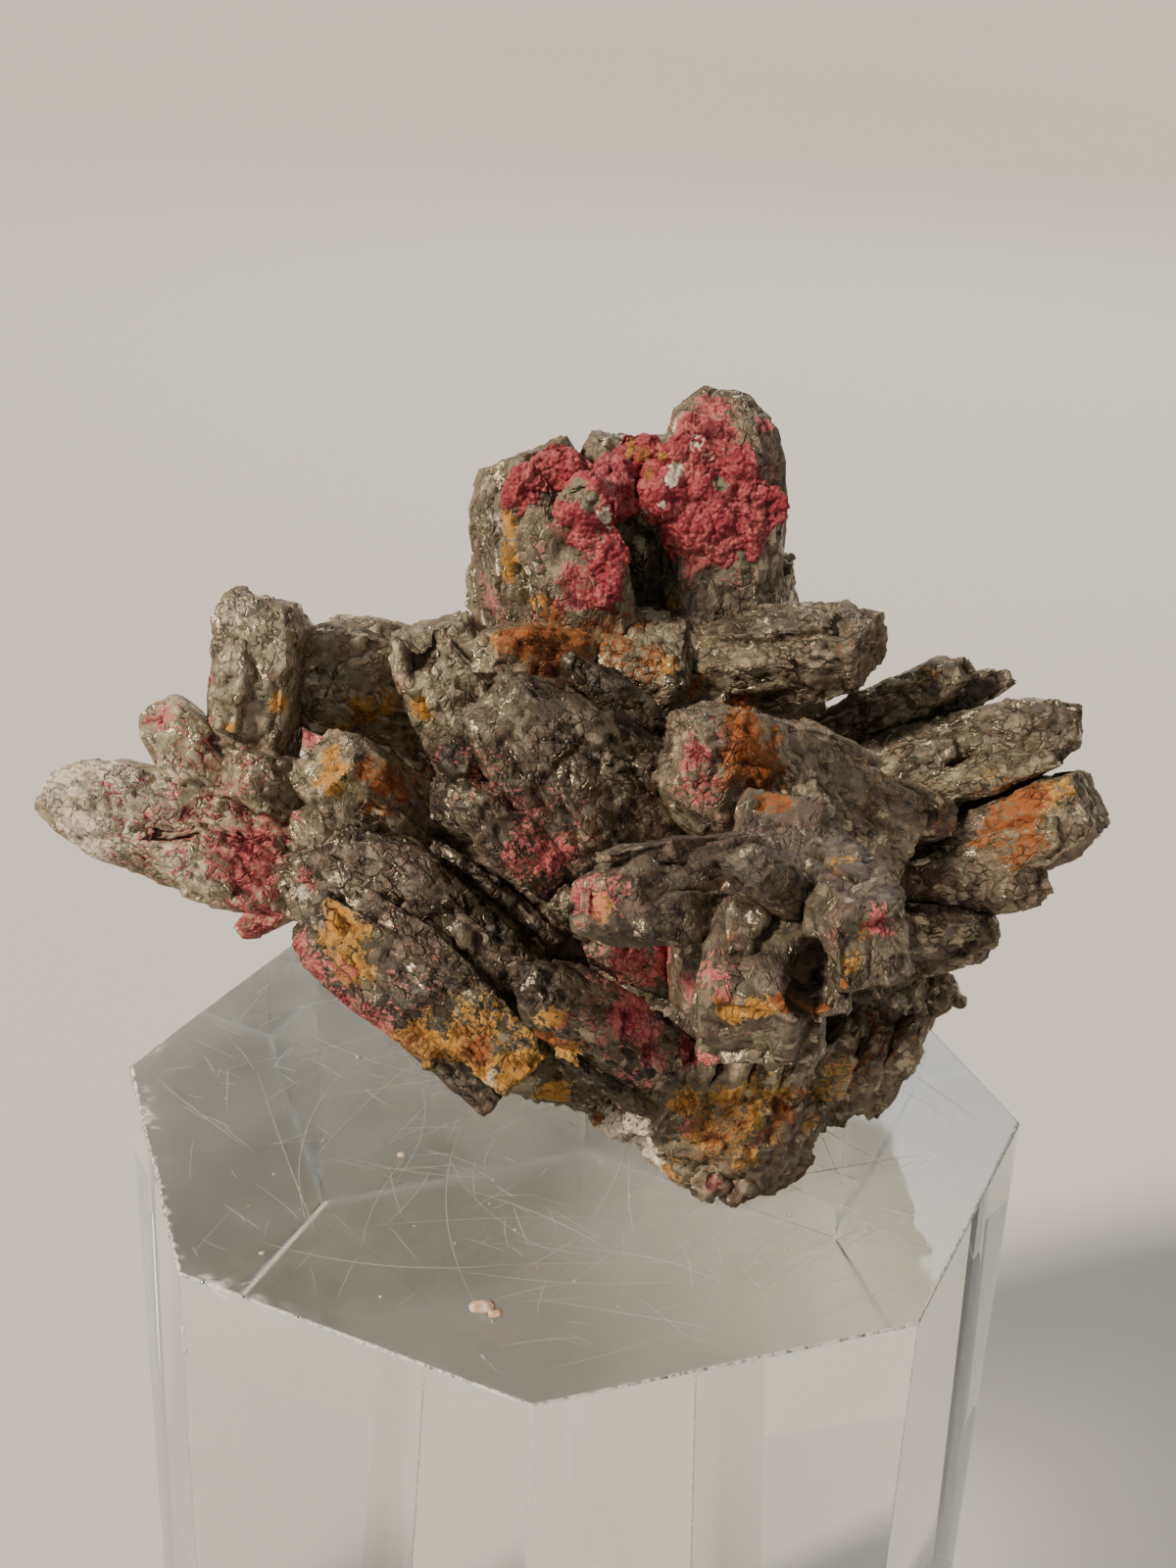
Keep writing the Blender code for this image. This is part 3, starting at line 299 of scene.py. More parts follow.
# Where films, stains and glinting chips lie on the near side: (x, y, z, radius, strength)
STAINS = {
    "pale": (
        (-33.9, -5.8, 25.7, 2.4, 0.9), (-32.1, -7.4, 21.6, 2.2, 0.7), (-30.2, -5.3, 25.7, 2.3, 0.55),
        (-27.7, -4.8, 25, 2.4, 0.45), (-29.9, -6.9, 22.2, 2.6, 0.5), (-25.4, -7.2, 20.5, 2.2, 0.45),
        (-27, -5.6, 23.2, 2.6, 0.4), (-22.8, -2.1, 35.9, 1.6, 0.45), (-22.5, 1, 36.5, 1.2, 0.4),
        (-16.8, -8.1, 23.7, 0.6, 0.4), (-17.2, -10.3, 20.4, 0.7, 0.8), (-15.4, -12.7, 19.1, 1.6, 0.35),
        (-12.4, -14, 14.4, 1.9, 0.4), (-4.5, -14.7, 10.4, 0.9, 0.8), (-9.1, -13.4, 16.4, 2.5, 0.22),
        (-5.9, -13.7, 14, 1.9, 0.25), (-1.9, -18.4, 19.8, 0.7, 0.45), (10.5, -13.1, 4.4, 0.9, 0.35),
        (3.2, -10.1, 4.1, 2.0, 1), (4.8, -12.5, 6.0, 1.3, 1), (5.7, -9.5, 2.3, 1.6, 1),
        (6.7, -10.1, 0.8, 0.8, 0.7), (-4.4, 5.2, 36.5, 0.5, 0.5), (-9.7, 18.7, 34.1, 0.4, 0.8),
        # The spots at (4.8, 5.9, 44.2), (4.2, 5.5, 42.7), (5.1, 6.6, 44.7) and (3.3, 6, 41.8) are painted highlights
        # that stand for sparkles on the towers, laid as pale film
        (1, 2, 42.4, 0.9, 0.6), (4.8, 5.9, 44.2, 0.6, 0.9), (4.2, 5.5, 42.7, 0.45, 0.8),
        (5.1, 6.6, 44.7, 0.6, 0.7), (3.3, 6, 41.8, 0.5, 0.6), (6.6, 6.9, 46.4, 1, 0.35),
        (7.3, 6.8, 45.5, 0.9, 0.3), (-30.6, -6.4, 24.1, 3.8, 0.4), (-7.2, 5.7, 40.3, 1.7, 0.3),
        (-4.3, 3.1, 39.2, 1.5, 0.34), (33.2, -2.4, 25.8, 0.9, 0.4), (-22, -2.7, 34.1, 2.5, 0.24),
    ),
    # Spots where more chips glint: their colour is lightened there as a painted highlight, and they are made more
    # metallic and glossier
    "glint": (
        (-5, -10.5, 32.8, 0.7, 0.9), (-4.5, -9.3, 34, 0.7, 0.9), (-5.2, -11, 31.1, 1.1, 0.5),
        (-3.4, -11.1, 29.3, 1.4, 0.3), (-7.2, -9.3, 24.9, 0.6, 0.7), (3.4, -25.2, 29.3, 0.7, 0.9),
        (2.8, -26, 28.1, 0.6, 0.8), (4.4, -25.9, 27.9, 0.5, 0.7), (17.9, -27.8, 28.4, 0.5, 0.8),
        (6.5, -10.6, 34.2, 0.9, 0.4), (-2.5, -1, 34.6, 0.6, 0.4), (33, -2.5, 26, 0.8, 0.6),
        (17.4, 0.4, 33.3, 1, 0.25), (-1.2, -11.8, 31.4, 2.6, 0.4), (-6.4, -8.9, 25.6, 1.4, 0.8),
        (-28.6, -6.2, 24.6, 3.0, 0.5), (-19.5, 1.2, 31.5, 2.4, 0.45), (-8.4, -9.6, 20.5, 4.0, 0.35),
    ),
    "cinnabar": (
        (-21.5, -5.7, 20.8, 2.6, 0.95), (-23.3, -4.8, 22.1, 2.6, 0.55), (-20.3, -3.8, 21.4, 1.8, 0.9),
        (-20.5, -6, 18.8, 1.9, 0.7), (-26.4, -5.2, 23.8, 3.2, 0.38), (-27.9, -7.5, 21.2, 2.3, 0.35),
        (-27.7, -2.8, 29, 1.5, 0.9), (-25.8, -4, 28.6, 1.9, 0.45), (-28.9, -0.5, 29.1, 0.9, 0.5),
        (-25.2, -4.3, 25.6, 2.3, 0.35), (-21.4, -6.9, 16.3, 2.2, 0.8), (-22.8, -3.9, 23.5, 1.3, 0.3),
        (-24.3, -2.8, 32, 0.8, 0.6), (-23.7, -4.1, 29.4, 0.9, 0.35), (-12.5, -0.6, 31.2, 0.9, 0.35),
        (-9.1, -9.1, 30.1, 1.2, 0.35), (-18.2, -7.1, 24.5, 0.5, 0.7), (-17, -9.9, 21.1, 0.9, 0.6),
        (-16, -13.2, 16.5, 1.6, 0.85), (-13.9, -13.4, 14.7, 1.5, 0.8), (-11.9, -13.9, 13.3, 1.4, 0.7),
        (-17, -12.5, 17.9, 1.1, 0.8), (-11.2, -13.7, 14.7, 1.9, 0.45), (-1.4, -11.1, 24.7, 1.8, 0.85),
        (1, -23.3, 29.1, 1.6, 0.6), (-2.4, -11.4, 26.5, 1.3, 0.6), (2.5, -25.6, 28.8, 1.4, 0.55),
        (-3.2, -11.9, 25.3, 1.2, 0.5), (-6.6, -9.1, 30.2, 1.1, 0.5), (-3.8, -12.1, 24.4, 1, 0.7),
        (-5.1, -11.9, 28.2, 1.1, 0.3), (-2.4, -1.5, 33.1, 0.8, 0.2), (7, -12.4, 32.5, 1.3, 0.85),
        (6.8, -12.9, 30.7, 1.3, 0.6), (8, -13, 29.6, 1.1, 0.45), (8.9, -13.1, 29, 0.7, 0.5),
        (7.4, -8.2, 34, 0.8, 0.4), (1.7, -25.9, 28.6, 1.1, 0.7), (3.8, -14.4, 20, 1.4, 0.9),
        (6.2, -12, 18.5, 1.8, 0.95), (8.3, -27.6, 26.4, 1.3, 0.7), (5.1, -13.3, 17.4, 1.5, 0.7),
        (7.4, -21.3, 21.5, 1.4, 0.6), (9.1, -28.7, 25.9, 0.6, 0.6), (17.2, -27.3, 29.8, 0.9, 0.8),
        (10.6, -28.6, 23.2, 0.5, 0.3), (1.6, -17.3, 18.1, 1.3, 0.4), (4, -15.7, 15.9, 1.7, 0.95),
        (3, -17.6, 14.8, 1.4, 0.55), (5.3, -15.1, 14.2, 1.6, 0.9), (1.7, -18.2, 16.6, 1.2, 0.45),
        (6, -15, 12.8, 1.2, 0.7), (7.8, -12.5, 12.1, 1.3, 0.95), (8.6, -26.8, 20.6, 1, 0.8),
        (4.2, -16.6, 12.2, 1, 0.5), (8.2, -12.4, 6, 0.8, 0.6), (12.7, -12.5, 5.3, 0.9, 0.55),
        (11, -12.5, 2.5, 1, 0.5), (5.5, -15.8, 11.1, 0.9, 0.5), (10.4, -13.3, 1.8, 0.9, 0.6),
        (17.5, -10.1, 10.5, 0.5, 0.5), (23.8, -1.4, 23.8, 0.6, 0.6), (-4, 4.8, 34.4, 1.1, 0.5),
        (-7.1, 5.6, 35.5, 1.1, 0.6), (-7.7, 6.4, 36.6, 0.7, 0.6), (-6.4, 4.8, 34.6, 0.8, 0.6),
        (-4, 5.9, 44.4, 0.9, 0.6), (-0.4, 1.6, 43.2, 1.5, 0.6), (6.5, 7.8, 47.1, 2.6, 1),
        (5.7, 6.5, 45.8, 1.4, 0.9), (7.1, 9.6, 48.4, 1.3, 0.9), (4.9, 7.2, 46.9, 1.2, 0.8),
        (6.8, 5.8, 43.7, 1.9, 0.7), (10.8, 9.6, 47.5, 0.6, 0.9), (10.4, 8.7, 47.1, 0.5, 0.5),
        (11.6, 8.4, 44.6, 0.7, 0.4), (9.1, 6, 37.7, 0.8, 0.5), (6.1, 5.9, 37.5, 0.7, 0.5),
        (-25.6, -6.3, 22.2, 5.1, 0.44), (-29.4, -6.5, 22.8, 3.2, 0.36), (-22.8, -5, 25.3, 2.6, 0.4),
        (-1.5, -11.1, 25.4, 3.6, 0.46), (1.7, -25.3, 29.5, 2.1, 0.5), (-5.3, -10.1, 28.7, 2.4, 0.4),
        (7.1, -12.9, 30.8, 2.3, 0.42), (7.7, -11.6, 34.1, 1.8, 0.3), (-10.9, -13.8, 15.9, 3.7, 0.3),
        (-15.3, -13.2, 15.9, 2.5, 0.6), (14.8, -28.3, 29, 2.1, 0.24), (-7.1, 5.6, 35.4, 1.2, 0.7),
        (-2.9, 2.3, 40.2, 1.9, 0.3), (1, 3.5, 44, 2.5, 0.55), (3.8, -14.5, 19, 2.4, 0.7),
        (4.6, -14.8, 16.1, 2.4, 0.8), (1.2, -18.6, 16.7, 2, 0.34), (3, -10, 4.1, 1.3, 0.4),
        (-11.2, 6.6, 21.7, 1.3, 0.4), (-10.8, -5.4, 24.2, 0.9, 0.2),
    ),
    "ochre": (
        (-19.9, -6.6, 15.9, 1, 0.5), (-19.7, -3.2, 30.5, 0.7, 0.9), (-23, -4.2, 29.1, 0.5, 0.7),
        (-14.8, 1, 28.3, 1.3, 0.9), (-16.4, 0.9, 27.3, 0.9, 0.6), (-13.5, 1.6, 28.7, 0.9, 0.8),
        (-10.8, -1.1, 29.9, 0.8, 0.75), (-15.7, -7.3, 27.5, 1.5, 0.95), (-16.2, -5.6, 28.1, 1, 0.8),
        (-14.1, -12.9, 19, 1.7, 0.95), (-13.4, -13.4, 17.2, 1.5, 0.9), (-14.5, -12.3, 20, 1.1, 0.8),
        (-9, -14.1, 11.8, 2.1, 0.9), (-5.8, -14.5, 11.6, 2.1, 0.85), (-2.6, -14.3, 10.6, 1.9, 0.85),
        (-0.9, -11.5, 7.5, 1.3, 0.8), (-10.9, -13.8, 12.2, 1.2, 0.6), (9.5, -10.8, 34.5, 0.9, 0.5),
        (12.8, -10.5, 30, 0.6, 0.4), (15.6, -21.5, 30.7, 0.9, 0.45), (2.4, -25.6, 28.8, 0.9, 0.7),
        (11.2, -29.5, 25.3, 0.9, 0.8), (9.7, -29.2, 24.7, 0.8, 0.7), (15.9, -28.7, 27.9, 0.7, 0.5),
        (0.5, -17.2, 14.4, 1.1, 0.7), (-1.1, -18.4, 17.2, 0.7, 0.6), (8.1, -13.7, 8.4, 1.4, 0.85),
        (10.6, -12.6, 8.6, 1.4, 0.85), (12.6, -12.1, 6.9, 1.4, 0.8), (9.5, -12.5, 5.4, 1.4, 0.6),
        (13.8, -11.2, 8, 1.3, 0.6), (12.2, -12.8, 4, 1.2, 0.6), (7.7, -11.6, 2.4, 0.8, 0.4),
        (7.4, -10.8, 1, 0.9, 0.6), (17.6, -9.9, 9.7, 0.8, 0.45), (16.6, -10.4, 5.4, 0.9, 0.35),
        (19.5, -8.5, 10.5, 0.6, 0.4), (22.6, -8.9, 11.7, 0.6, 0.35), (30.1, -1.5, 26.5, 1.4, 0.7),
        (31.8, -1.7, 27.4, 0.9, 0.5), (22.9, 5.8, 31.6, 0.7, 0.3), (27.1, 0.5, 26.8, 0.8, 0.3),
        (7.5, 1.8, 32.1, 0.8, 0.45), (-5.3, -2, 35.5, 1.1, 0.8), (-3.5, -0.5, 35.8, 0.9, 0.6),
        (5.2, 0.2, 33.3, 0.8, 0.6), (4.2, 0.3, 33.5, 0.6, 0.5), (-5.7, 5.6, 39, 0.7, 1),
        (-5.7, 5.9, 40.6, 0.5, 0.9), (-5.9, 5.3, 37.4, 0.5, 0.8), (-7.3, 9.5, 43.6, 0.7, 0.7),
        (-3.3, 2.3, 36.7, 0.6, 0.8), (-4, 5, 35.5, 0.5, 0.7), (2, 9.2, 45.4, 0.7, 0.7),
        (4, 7.4, 45.5, 0.5, 0.6), (5.2, 6.3, 35.6, 0.7, 0.8), (-5.8, -14.4, 11.9, 3.7, 0.5),
        (10.7, -12, 6.8, 3.8, 0.5), (17.7, -9.8, 8.9, 2.6, 0.36), (-5.9, 6, 41, 0.5, 1),
        (-5.7, 5.8, 40, 0.5, 1), (-5.7, 5.6, 39, 0.5, 1), (-5.8, 5.4, 38.1, 0.5, 1),
        (-5.8, 5.2, 37.1, 0.5, 0.9), (-0.3, -19, 17.6, 0.9, 0.7), (29.2, -1.6, 25.4, 1.7, 0.6),
    ),
    "rust": (
        (-13.7, 1.7, 29.4, 0.7, 0.5), (-12.2, -6.7, 26.8, 2.1, 0.65), (-13.4, -7.1, 27.6, 1.2, 0.6),
        (-11.1, -3.9, 26.3, 1.2, 0.5), (-9.6, -13.9, 11.3, 1.5, 0.5), (-5.2, -14.2, 12.1, 1, 0.7),
        (10.1, -11, 34, 1.4, 1), (11.1, -11.2, 31.6, 1.4, 1), (12, -15, 31.1, 1, 0.95),
        (10.2, 2.3, 30.3, 1.1, 0.9), (7.2, 1.6, 31.5, 0.8, 0.5), (15, -22.9, 30.4, 0.6, 0.4),
        (12.5, -29, 25.7, 0.6, 0.8), (9.1, -29.2, 25.5, 0.5, 0.7), (15, -28.4, 26.7, 0.8, 0.7),
        (16.6, -27.7, 29.4, 0.8, 0.5), (14.3, -27.3, 24.2, 0.5, 0.7), (9.5, -26.2, 27.8, 0.4, 0.5),
        (-0.7, -17.4, 15.2, 1.2, 0.75), (14.6, -11.2, 6.5, 1.3, 0.55), (15.8, -10.8, 7.9, 1, 0.5),
        (2.3, -9, 4.1, 0.5, 0.8), (6, -9.6, 1.2, 0.5, 0.4), (21, -5.3, 10.9, 0.7, 0.3),
        (28.9, -1.3, 25.6, 1.9, 0.85), (27.6, -1, 23.9, 1.3, 0.8), (26.7, -1.4, 23, 1, 0.6),
        (16.5, 0.3, 35.3, 0.6, 0.35), (6.8, 2.3, 33.3, 0.5, 0.4), (-4.4, -1.8, 35.2, 1.6, 0.95),
        (-2.3, -0.3, 35.4, 1.7, 0.85), (-0.7, 0.4, 34.6, 1.5, 0.7), (1.2, 1.6, 34.6, 1.7, 0.5),
        (3.8, 0.8, 34, 1.5, 0.4), (2.4, 2.6, 35, 1.6, 0.4), (2.7, 9.1, 45.2, 0.8, 0.8),
        (3.1, 7, 44.6, 0.5, 0.6), (10.1, -12.2, 6.1, 3.2, 0.4), (-2.5, -0.8, 34.9, 3.2, 0.62),
        (2.6, 0.3, 33.1, 2.6, 0.4), (20.7, -8.5, 11.3, 3.2, 0.28), (28.4, -2.2, 23.8, 2.6, 0.5),
        (10.8, -11.3, 31.9, 2.3, 0.75),
    ),
    "crust": (
        (-3.3, 5.6, 44.6, 1, 0.95), (-2.1, 2.3, 43.9, 0.9, 0.8), (-4.1, 5.5, 43.6, 0.9, 0.7),
        (-0.6, 4, 45.1, 1, 0.9), (0.7, 4.1, 44.5, 1.1, 0.9), (-0.7, 1.5, 42.2, 1, 0.9),
        (-2.3, 2.2, 41.6, 0.9, 0.7), (-0, 1.7, 40.5, 1.1, 0.95), (1, 1.6, 39.7, 1.1, 0.95),
        (-1.3, 2.1, 38.4, 1.3, 1), (-0.9, 2, 37.1, 1.2, 1), (1.7, 1.6, 38, 0.9, 0.8),
        (0.2, 1.9, 42.5, 1, 0.6), (2.2, 2.2, 40.5, 0.8, 0.7), (2.1, 8.7, 44.7, 1.1, 0.9),
        (3.2, 5.9, 43.8, 1, 0.9), (1.9, 5.6, 43.5, 1, 0.9), (9, 6.4, 43.7, 1.7, 1), (10.7, 6, 43.2, 1.3, 1),
        (9.5, 6, 41.8, 1.7, 1), (8.9, 5.4, 40.3, 1.6, 1), (7.3, 5.7, 39.7, 1.4, 0.95),
        (6.4, 5.8, 39, 1.2, 0.9), (10.5, 5.7, 40.6, 1.2, 0.95), (8.9, 6.4, 45.3, 0.9, 0.9),
        (11.4, 6.1, 41.9, 0.9, 0.8), (5.9, 5.5, 41.1, 1.3, 0.85), (6.9, 5.9, 42, 1.3, 0.85),
        (5.4, 5.6, 39.7, 1, 0.7),
    ),
}
KINDS = tuple(STAINS)

# How much more of each film shows than its strengths say
GAINS = {"pale": 1.25, "glint": 1.0, "cinnabar": 1.0, "ochre": 1.4, "rust": 1.45, "crust": 1.0}

# A stain reaches this many of its radii, fades between these shares of its reach, and its rim wanders over
# lengths of this many millimetres
STAIN_REACH = 1.35
STAIN_FADE = (1.25, 0.25)
STAIN_RAGGED = 0.45
STAIN_GRAIN = 1.1
# On the unseen side stains lie where slow noise passes this height: size in millimetres, limit and strength
FAR_STAINS = {
    "cinnabar": (4.5, 0.66, 0.75), "ochre": (3.6, 0.74, 0.5), "rust": (4.0, 0.74, 0.5), "pale": (3.0, 0.74, 0.5),
    "crust": (5.0, 2.0, 0.0), "glint": (5.0, 0.7, 0.4),
}
FAR_STARTS = (7.0, 13.0)

# How far cinnabar stands up from what it coats, in millimetres, and the size of its grains
FILM_HEIGHT = 0.05
CRUST_HEIGHT = 0.34
GRAIN_HEIGHT = 0.30
GRAIN_SIZE = 0.42

# The specimen's lowest point above the block
REST = 0.03


def linear(code):
    """The linear colour of an sRGB hex code."""
    parts = [int(code[i:i + 2], 16) / 255 for i in (1, 3, 5)]
    return [c / 12.92 if c <= 0.04045 else ((c + 0.055) / 1.055) ** 2.4 for c in parts]


def hue(name, code, what):
    return FloatVectorProperty(
        name=name, description=what, subtype="COLOR", size=3, min=0.0, max=1.0, default=linear(code))


def length(name, size, what):
    return FloatProperty(name=name, description=what, unit="LENGTH", min=0.0, precision=6, default=size * MM)


class SpecimenSettings(bpy.types.PropertyGroup):
    """Sizes and colours of the crystals and what grows on them"""
    step: length("Grid step", 0.26, "Spacing of the points on a crystal")
    crust_step: length("Crust step", 0.135, "Spacing of the points on thick cinnabar")
    dark: hue("Dark marcasite", "#3a332b", "Tarnished marcasite in recesses")
    middle: hue("Marcasite", "#82755f", "Olive grey of most of the marcasite")
    light: hue("Bright marcasite", "#c2b699", "Fresh faces of marcasite")
    bronze: hue("Bronze tarnish", "#71594a", "Brown tarnish in slow patches")
    # Also the colour of a few small painted highlights on the towers
    pale: hue("Pale matrix", "#d6cbb2", "Cream to white coating, where thin")
    pale_deep: hue("Deep pale matrix", "#e9e0cc", "Cream to white coating, where thick")
    ochre: hue("Ochre", "#b98a44", "Yellow iron stain, where thin")
    ochre_deep: hue("Deep ochre", "#b07422", "Yellow iron stain, where thick")
    rust: hue("Rust", "#8f5a30", "Orange-brown iron stain, where thin")
    rust_deep: hue("Deep rust", "#9a4f1c", "Orange-brown iron stain, where thick")
    cinnabar: hue("Cinnabar", "#8e1f30", "Crimson of granular cinnabar")
    cinnabar_light: hue("Light cinnabar", "#c46e68", "Rose of thin or powdery cinnabar")


class BlockSettings(bpy.types.PropertyGroup):
    """Sizes and finish of the clear block"""
    ease: length("Eased edge", 0.22, "Width of the polished edges")
    clear: hue("Acrylic", "#f4f6f4", "Colour of the clear acrylic")
    # The frosted colour is also painted along the block's eased top edges and upright corners as highlights
    frost: hue("Frosted chips", "#f3f1ea", "Colour of chipped and scratched acrylic")
    crumb: hue("Crumb", "#c9a27c", "Flake of matrix lying on the block")
    dust: hue("Dust", "#efece4", "Specks of dust")


class StageSettings(bpy.types.PropertyGroup):
    """Floor and lights"""
    floor: hue("Floor", "#dad6cf", "Plain pale floor")
    floor_cloud: hue("Clouding", "#d8d4cd", "Faint clouding of the floor's paint")
    key: FloatProperty(name="Key light", description="Strength of the soft key light", default=5.0)
    softness: FloatProperty(
        name="Softness", description="How wide the key light looks", subtype="ANGLE", default=math.radians(9))
    warmth: hue("Key colour", "#fff1dc", "Colour of the key light")
    window: FloatProperty(
        name="Window", description="Power of the window behind, which the block's top mirrors", unit="POWER",
        default=1.6)
    room: hue("Room light", "#eceef0", "Colour of the light from all round")
    room_light: FloatProperty(name="Room strength", description="Strength of the light from all round", default=0.34)


# Odd numbers that stir the bits of a whole number until they look random
STIR = (0x9E3779B97F4A7C15, 0xBF58476D1CE4E5B9, 0x94D049BB133111EB)
CELL_STRIDES = np.array((73856093, 19349663, 83492791), dtype=np.int64)


def shuffled(cells, seed, count):
    """Numbers from 0 to 1, several for each row of whole-number cells, that depend on the cell and seed only."""
    key = ((cells.astype(np.int64) * CELL_STRIDES).sum(1) + seed * 2654435761).astype(np.uint64)
    key = key[:, None] + np.arange(1, count + 1, dtype=np.uint64) * np.uint64(STIR[0])
    key = (key ^ (key >> np.uint64(30))) * np.uint64(STIR[1])
    key = (key ^ (key >> np.uint64(27))) * np.uint64(STIR[2])
    return ((key ^ (key >> np.uint64(31))) >> np.uint64(11)) * 2.0 ** -53


NEAR_CELLS = np.array([(x, y, z) for x in (0, 1) for y in (0, 1) for z in (0, 1)])


def noise(points, size, seed):
    """Smooth noise from 0 to 1: each cell corner has a random height, blended by an S curve in each direction."""
    q = points / size
    low = np.floor(q)
    part = q - low
    part = part * part * (3 - 2 * part)
    total = 0.0
    for corner in NEAR_CELLS:
        weight = np.prod(np.where(corner, part, 1 - part), axis=1)
        total = total + weight * shuffled(low + corner, seed, 1)[:, 0]
    return total


# The mean height of flakes
FLAKE_MEAN = 0.68


def flakes(points, size, seed, lean=1.3, slope=0.45):
    """Overlapping tilted flakes. Each cell of space has a flake with a random centre, height and tilt, which
    falls away from its centre as a blunt pyramid; a point takes the highest flake near it. Gives that height,
    how clearly it stands above the next one, and a random number of the flake's own."""
    q = points / size
    low = np.floor(q - 0.5)
    best = np.full(len(q), -9.0)
    second = best.copy()
    own = np.zeros(len(q))
    for corner in NEAR_CELLS:
        cell = low + corner
        chance = shuffled(cell, seed, 8)
        away = q - cell - 0.2 - 0.6 * chance[:, :3]
        height = 0.8 * chance[:, 3] + lean * (away * (chance[:, 4:7] - 0.5)).sum(1)
        height -= slope * np.abs(away).max(1)
        higher = height > best
        second = np.where(higher, best, np.maximum(second, height))
        own = np.where(higher, chance[:, 7], own)
        best = np.where(higher, height, best)
    return best, best - second, own


def grains(points, size, seed):
    """Round grains packed together: the height falls with the square of the distance to the nearest centre."""
    q = points / size
    low = np.floor(q - 0.5)
    nearest = np.full(len(q), 9.0)
    for corner in NEAR_CELLS:
        cell = low + corner
        away = q - cell - 0.15 - 0.7 * shuffled(cell, seed, 3)
        nearest = np.minimum(nearest, (away * away).sum(1))
    return 1 - np.minimum(nearest, 1.0)


def axes_of(base, tip, faces):
    """The unit directions across, through and along a crystal."""
    along = (tip - base).normalized()
    through = Vector(faces)
    through = (through - along * through.dot(along)).normalized()
    return along.cross(through), through, along


def bar_corners(chance, half_width, half_depth, sunk):
    """The corners of a rectangle, each cut off by its own seeded amount, but for a plate's two sunk ones."""
    least = min(half_width, half_depth)
    corners = []
    for side, front in ((1, -1), (1, 1), (-1, 1), (-1, -1)):
        if sunk and front < 0:
            corners.append((side * half_width, -half_depth))
            continue
        off_side = (side * half_width, front * (half_depth - least * chance.uniform(*EDGE_CUT)))
        off_front = (side * (half_width - least * chance.uniform(*EDGE_CUT)), front * half_depth)
        corners += [off_side, off_front] if side * front > 0 else [off_front, off_side]
    return corners


def crystal_rings(base, tip, width, depth, faces, form, seed, end=None, sunk=False):
    """The corners of each ring along a crystal: corner of the flat bar, times the outline's share there,
    plus a lean of the end that grows with the square of the share along. Rings by corners by x, y, z."""
    chance = random.Random(seed)
    base, tip = Vector(base), Vector(tip)
    axes = axes_of(base, tip, faces)
    across, through, along = (np.array(axis) for axis in axes)
    corners = np.array(bar_corners(chance, width / 2, depth / 2, sunk))
    corners = corners * np.array([1.0 + chance.uniform(-WOBBLE, WOBBLE) for _ in corners])[:, None]
    slope = (chance.uniform(-END_SLOPE, END_SLOPE), chance.uniform(-END_SLOPE, END_SLOPE))
    slope = end or slope
    share, size = np.array(form).T
    size = size * np.array([1.0 + chance.uniform(-WOBBLE, WOBBLE) / 2 for _ in form])
    x, y = size[:, None] * corners[:, 0], size[:, None] * corners[:, 1]
    lean = (slope[0] * x + slope[1] * y) * share[:, None] ** 2
    far = share[:, None] * (tip - base).length + lean
    return np.array(base) + x[..., None] * across + y[..., None] * through + far[..., None] * along


def ledges_of(crystal):
    """Plates that lie nearly along a large crystal, half sunk in each of its sides in turn."""
    chance = random.Random(crystal.name + " ledges")
    base, tip = Vector(crystal.base), Vector(crystal.tip)
    across, through, along = axes_of(base, tip, crystal.faces)
    span_all = (tip - base).length
    sides = (
        (through, across, crystal.depth, crystal.width),
        (across, through, crystal.width, crystal.depth),
        (through, across, crystal.depth, crystal.width),
        (-across, through, crystal.width, crystal.depth),
        (-through, across, crystal.depth, crystal.width),
    )
    found = []
    for i in range(crystal.ledges):
        outward, sideways, far, broad = sides[i % len(sides)]
        thick = far * chance.uniform(*LEDGE_DEPTH)
        wide = broad * chance.uniform(*LEDGE_WIDTH)
        span = span_all * chance.uniform(*LEDGE_LENGTH)
        middle = (
            base
            + along * span_all * chance.uniform(*LEDGE_ALONG)
            + outward * (far / 2 + thick * (LEDGE_PROUD - 0.5))
            + sideways * broad * chance.uniform(-LEDGE_ACROSS, LEDGE_ACROSS)
        )
        tilt = sideways * chance.uniform(-LEDGE_TILT, LEDGE_TILT) + outward * chance.uniform(-LEDGE_TILT, 0.0)
        way = (along + tilt).normalized()
        found.append((middle - way * span / 2, middle + way * span / 2, wide, thick, outward))
    return found


def lump_rings(centre, radii, sides, rings, seed, wobble):
    """Rings of corners round an egg: its radii times the cosines and sines of a climb and a turn, times a
    seeded wobble. Rings by corners by x, y, z."""
    chance = random.Random(seed)
    climb = (math.pi * (np.arange(rings) + 0.5) / rings - math.pi / 2)[:, None]
    turn = math.tau * (np.arange(sides)[None, :] + 0.5 * (np.arange(rings)[:, None] % 2)) / sides
    size = np.array([[1.0 + chance.uniform(-wobble, wobble) for _ in range(sides)] for _ in range(rings)])
    way = np.stack((np.cos(climb) * np.cos(turn), np.cos(climb) * np.sin(turn), np.sin(climb) + 0 * turn), axis=-1)
    return np.array(centre) + np.array(radii) * size[..., None] * way


def knobs_on(lump, count):
    """Small knobs scattered over a lump's skin: (centre, radius), each at its own seeded angles."""
    chance = random.Random(lump.name + " knobs")
    low_high, round_about = KNOB_SPREAD
    found = []
    for _ in range(count):
        climb = math.pi / 2 * chance.uniform(*low_high)
        angle = math.pi * (-0.5 + chance.uniform(*round_about))
        way = (math.cos(climb) * math.cos(angle), math.cos(climb) * math.sin(angle), math.sin(climb))
        centre = [c + r * w * KNOB_DISTANCE for c, r, w in zip(lump.centre, lump.radii, way)]
        found.append((centre, chance.uniform(*KNOB_SIZE)))
    return found


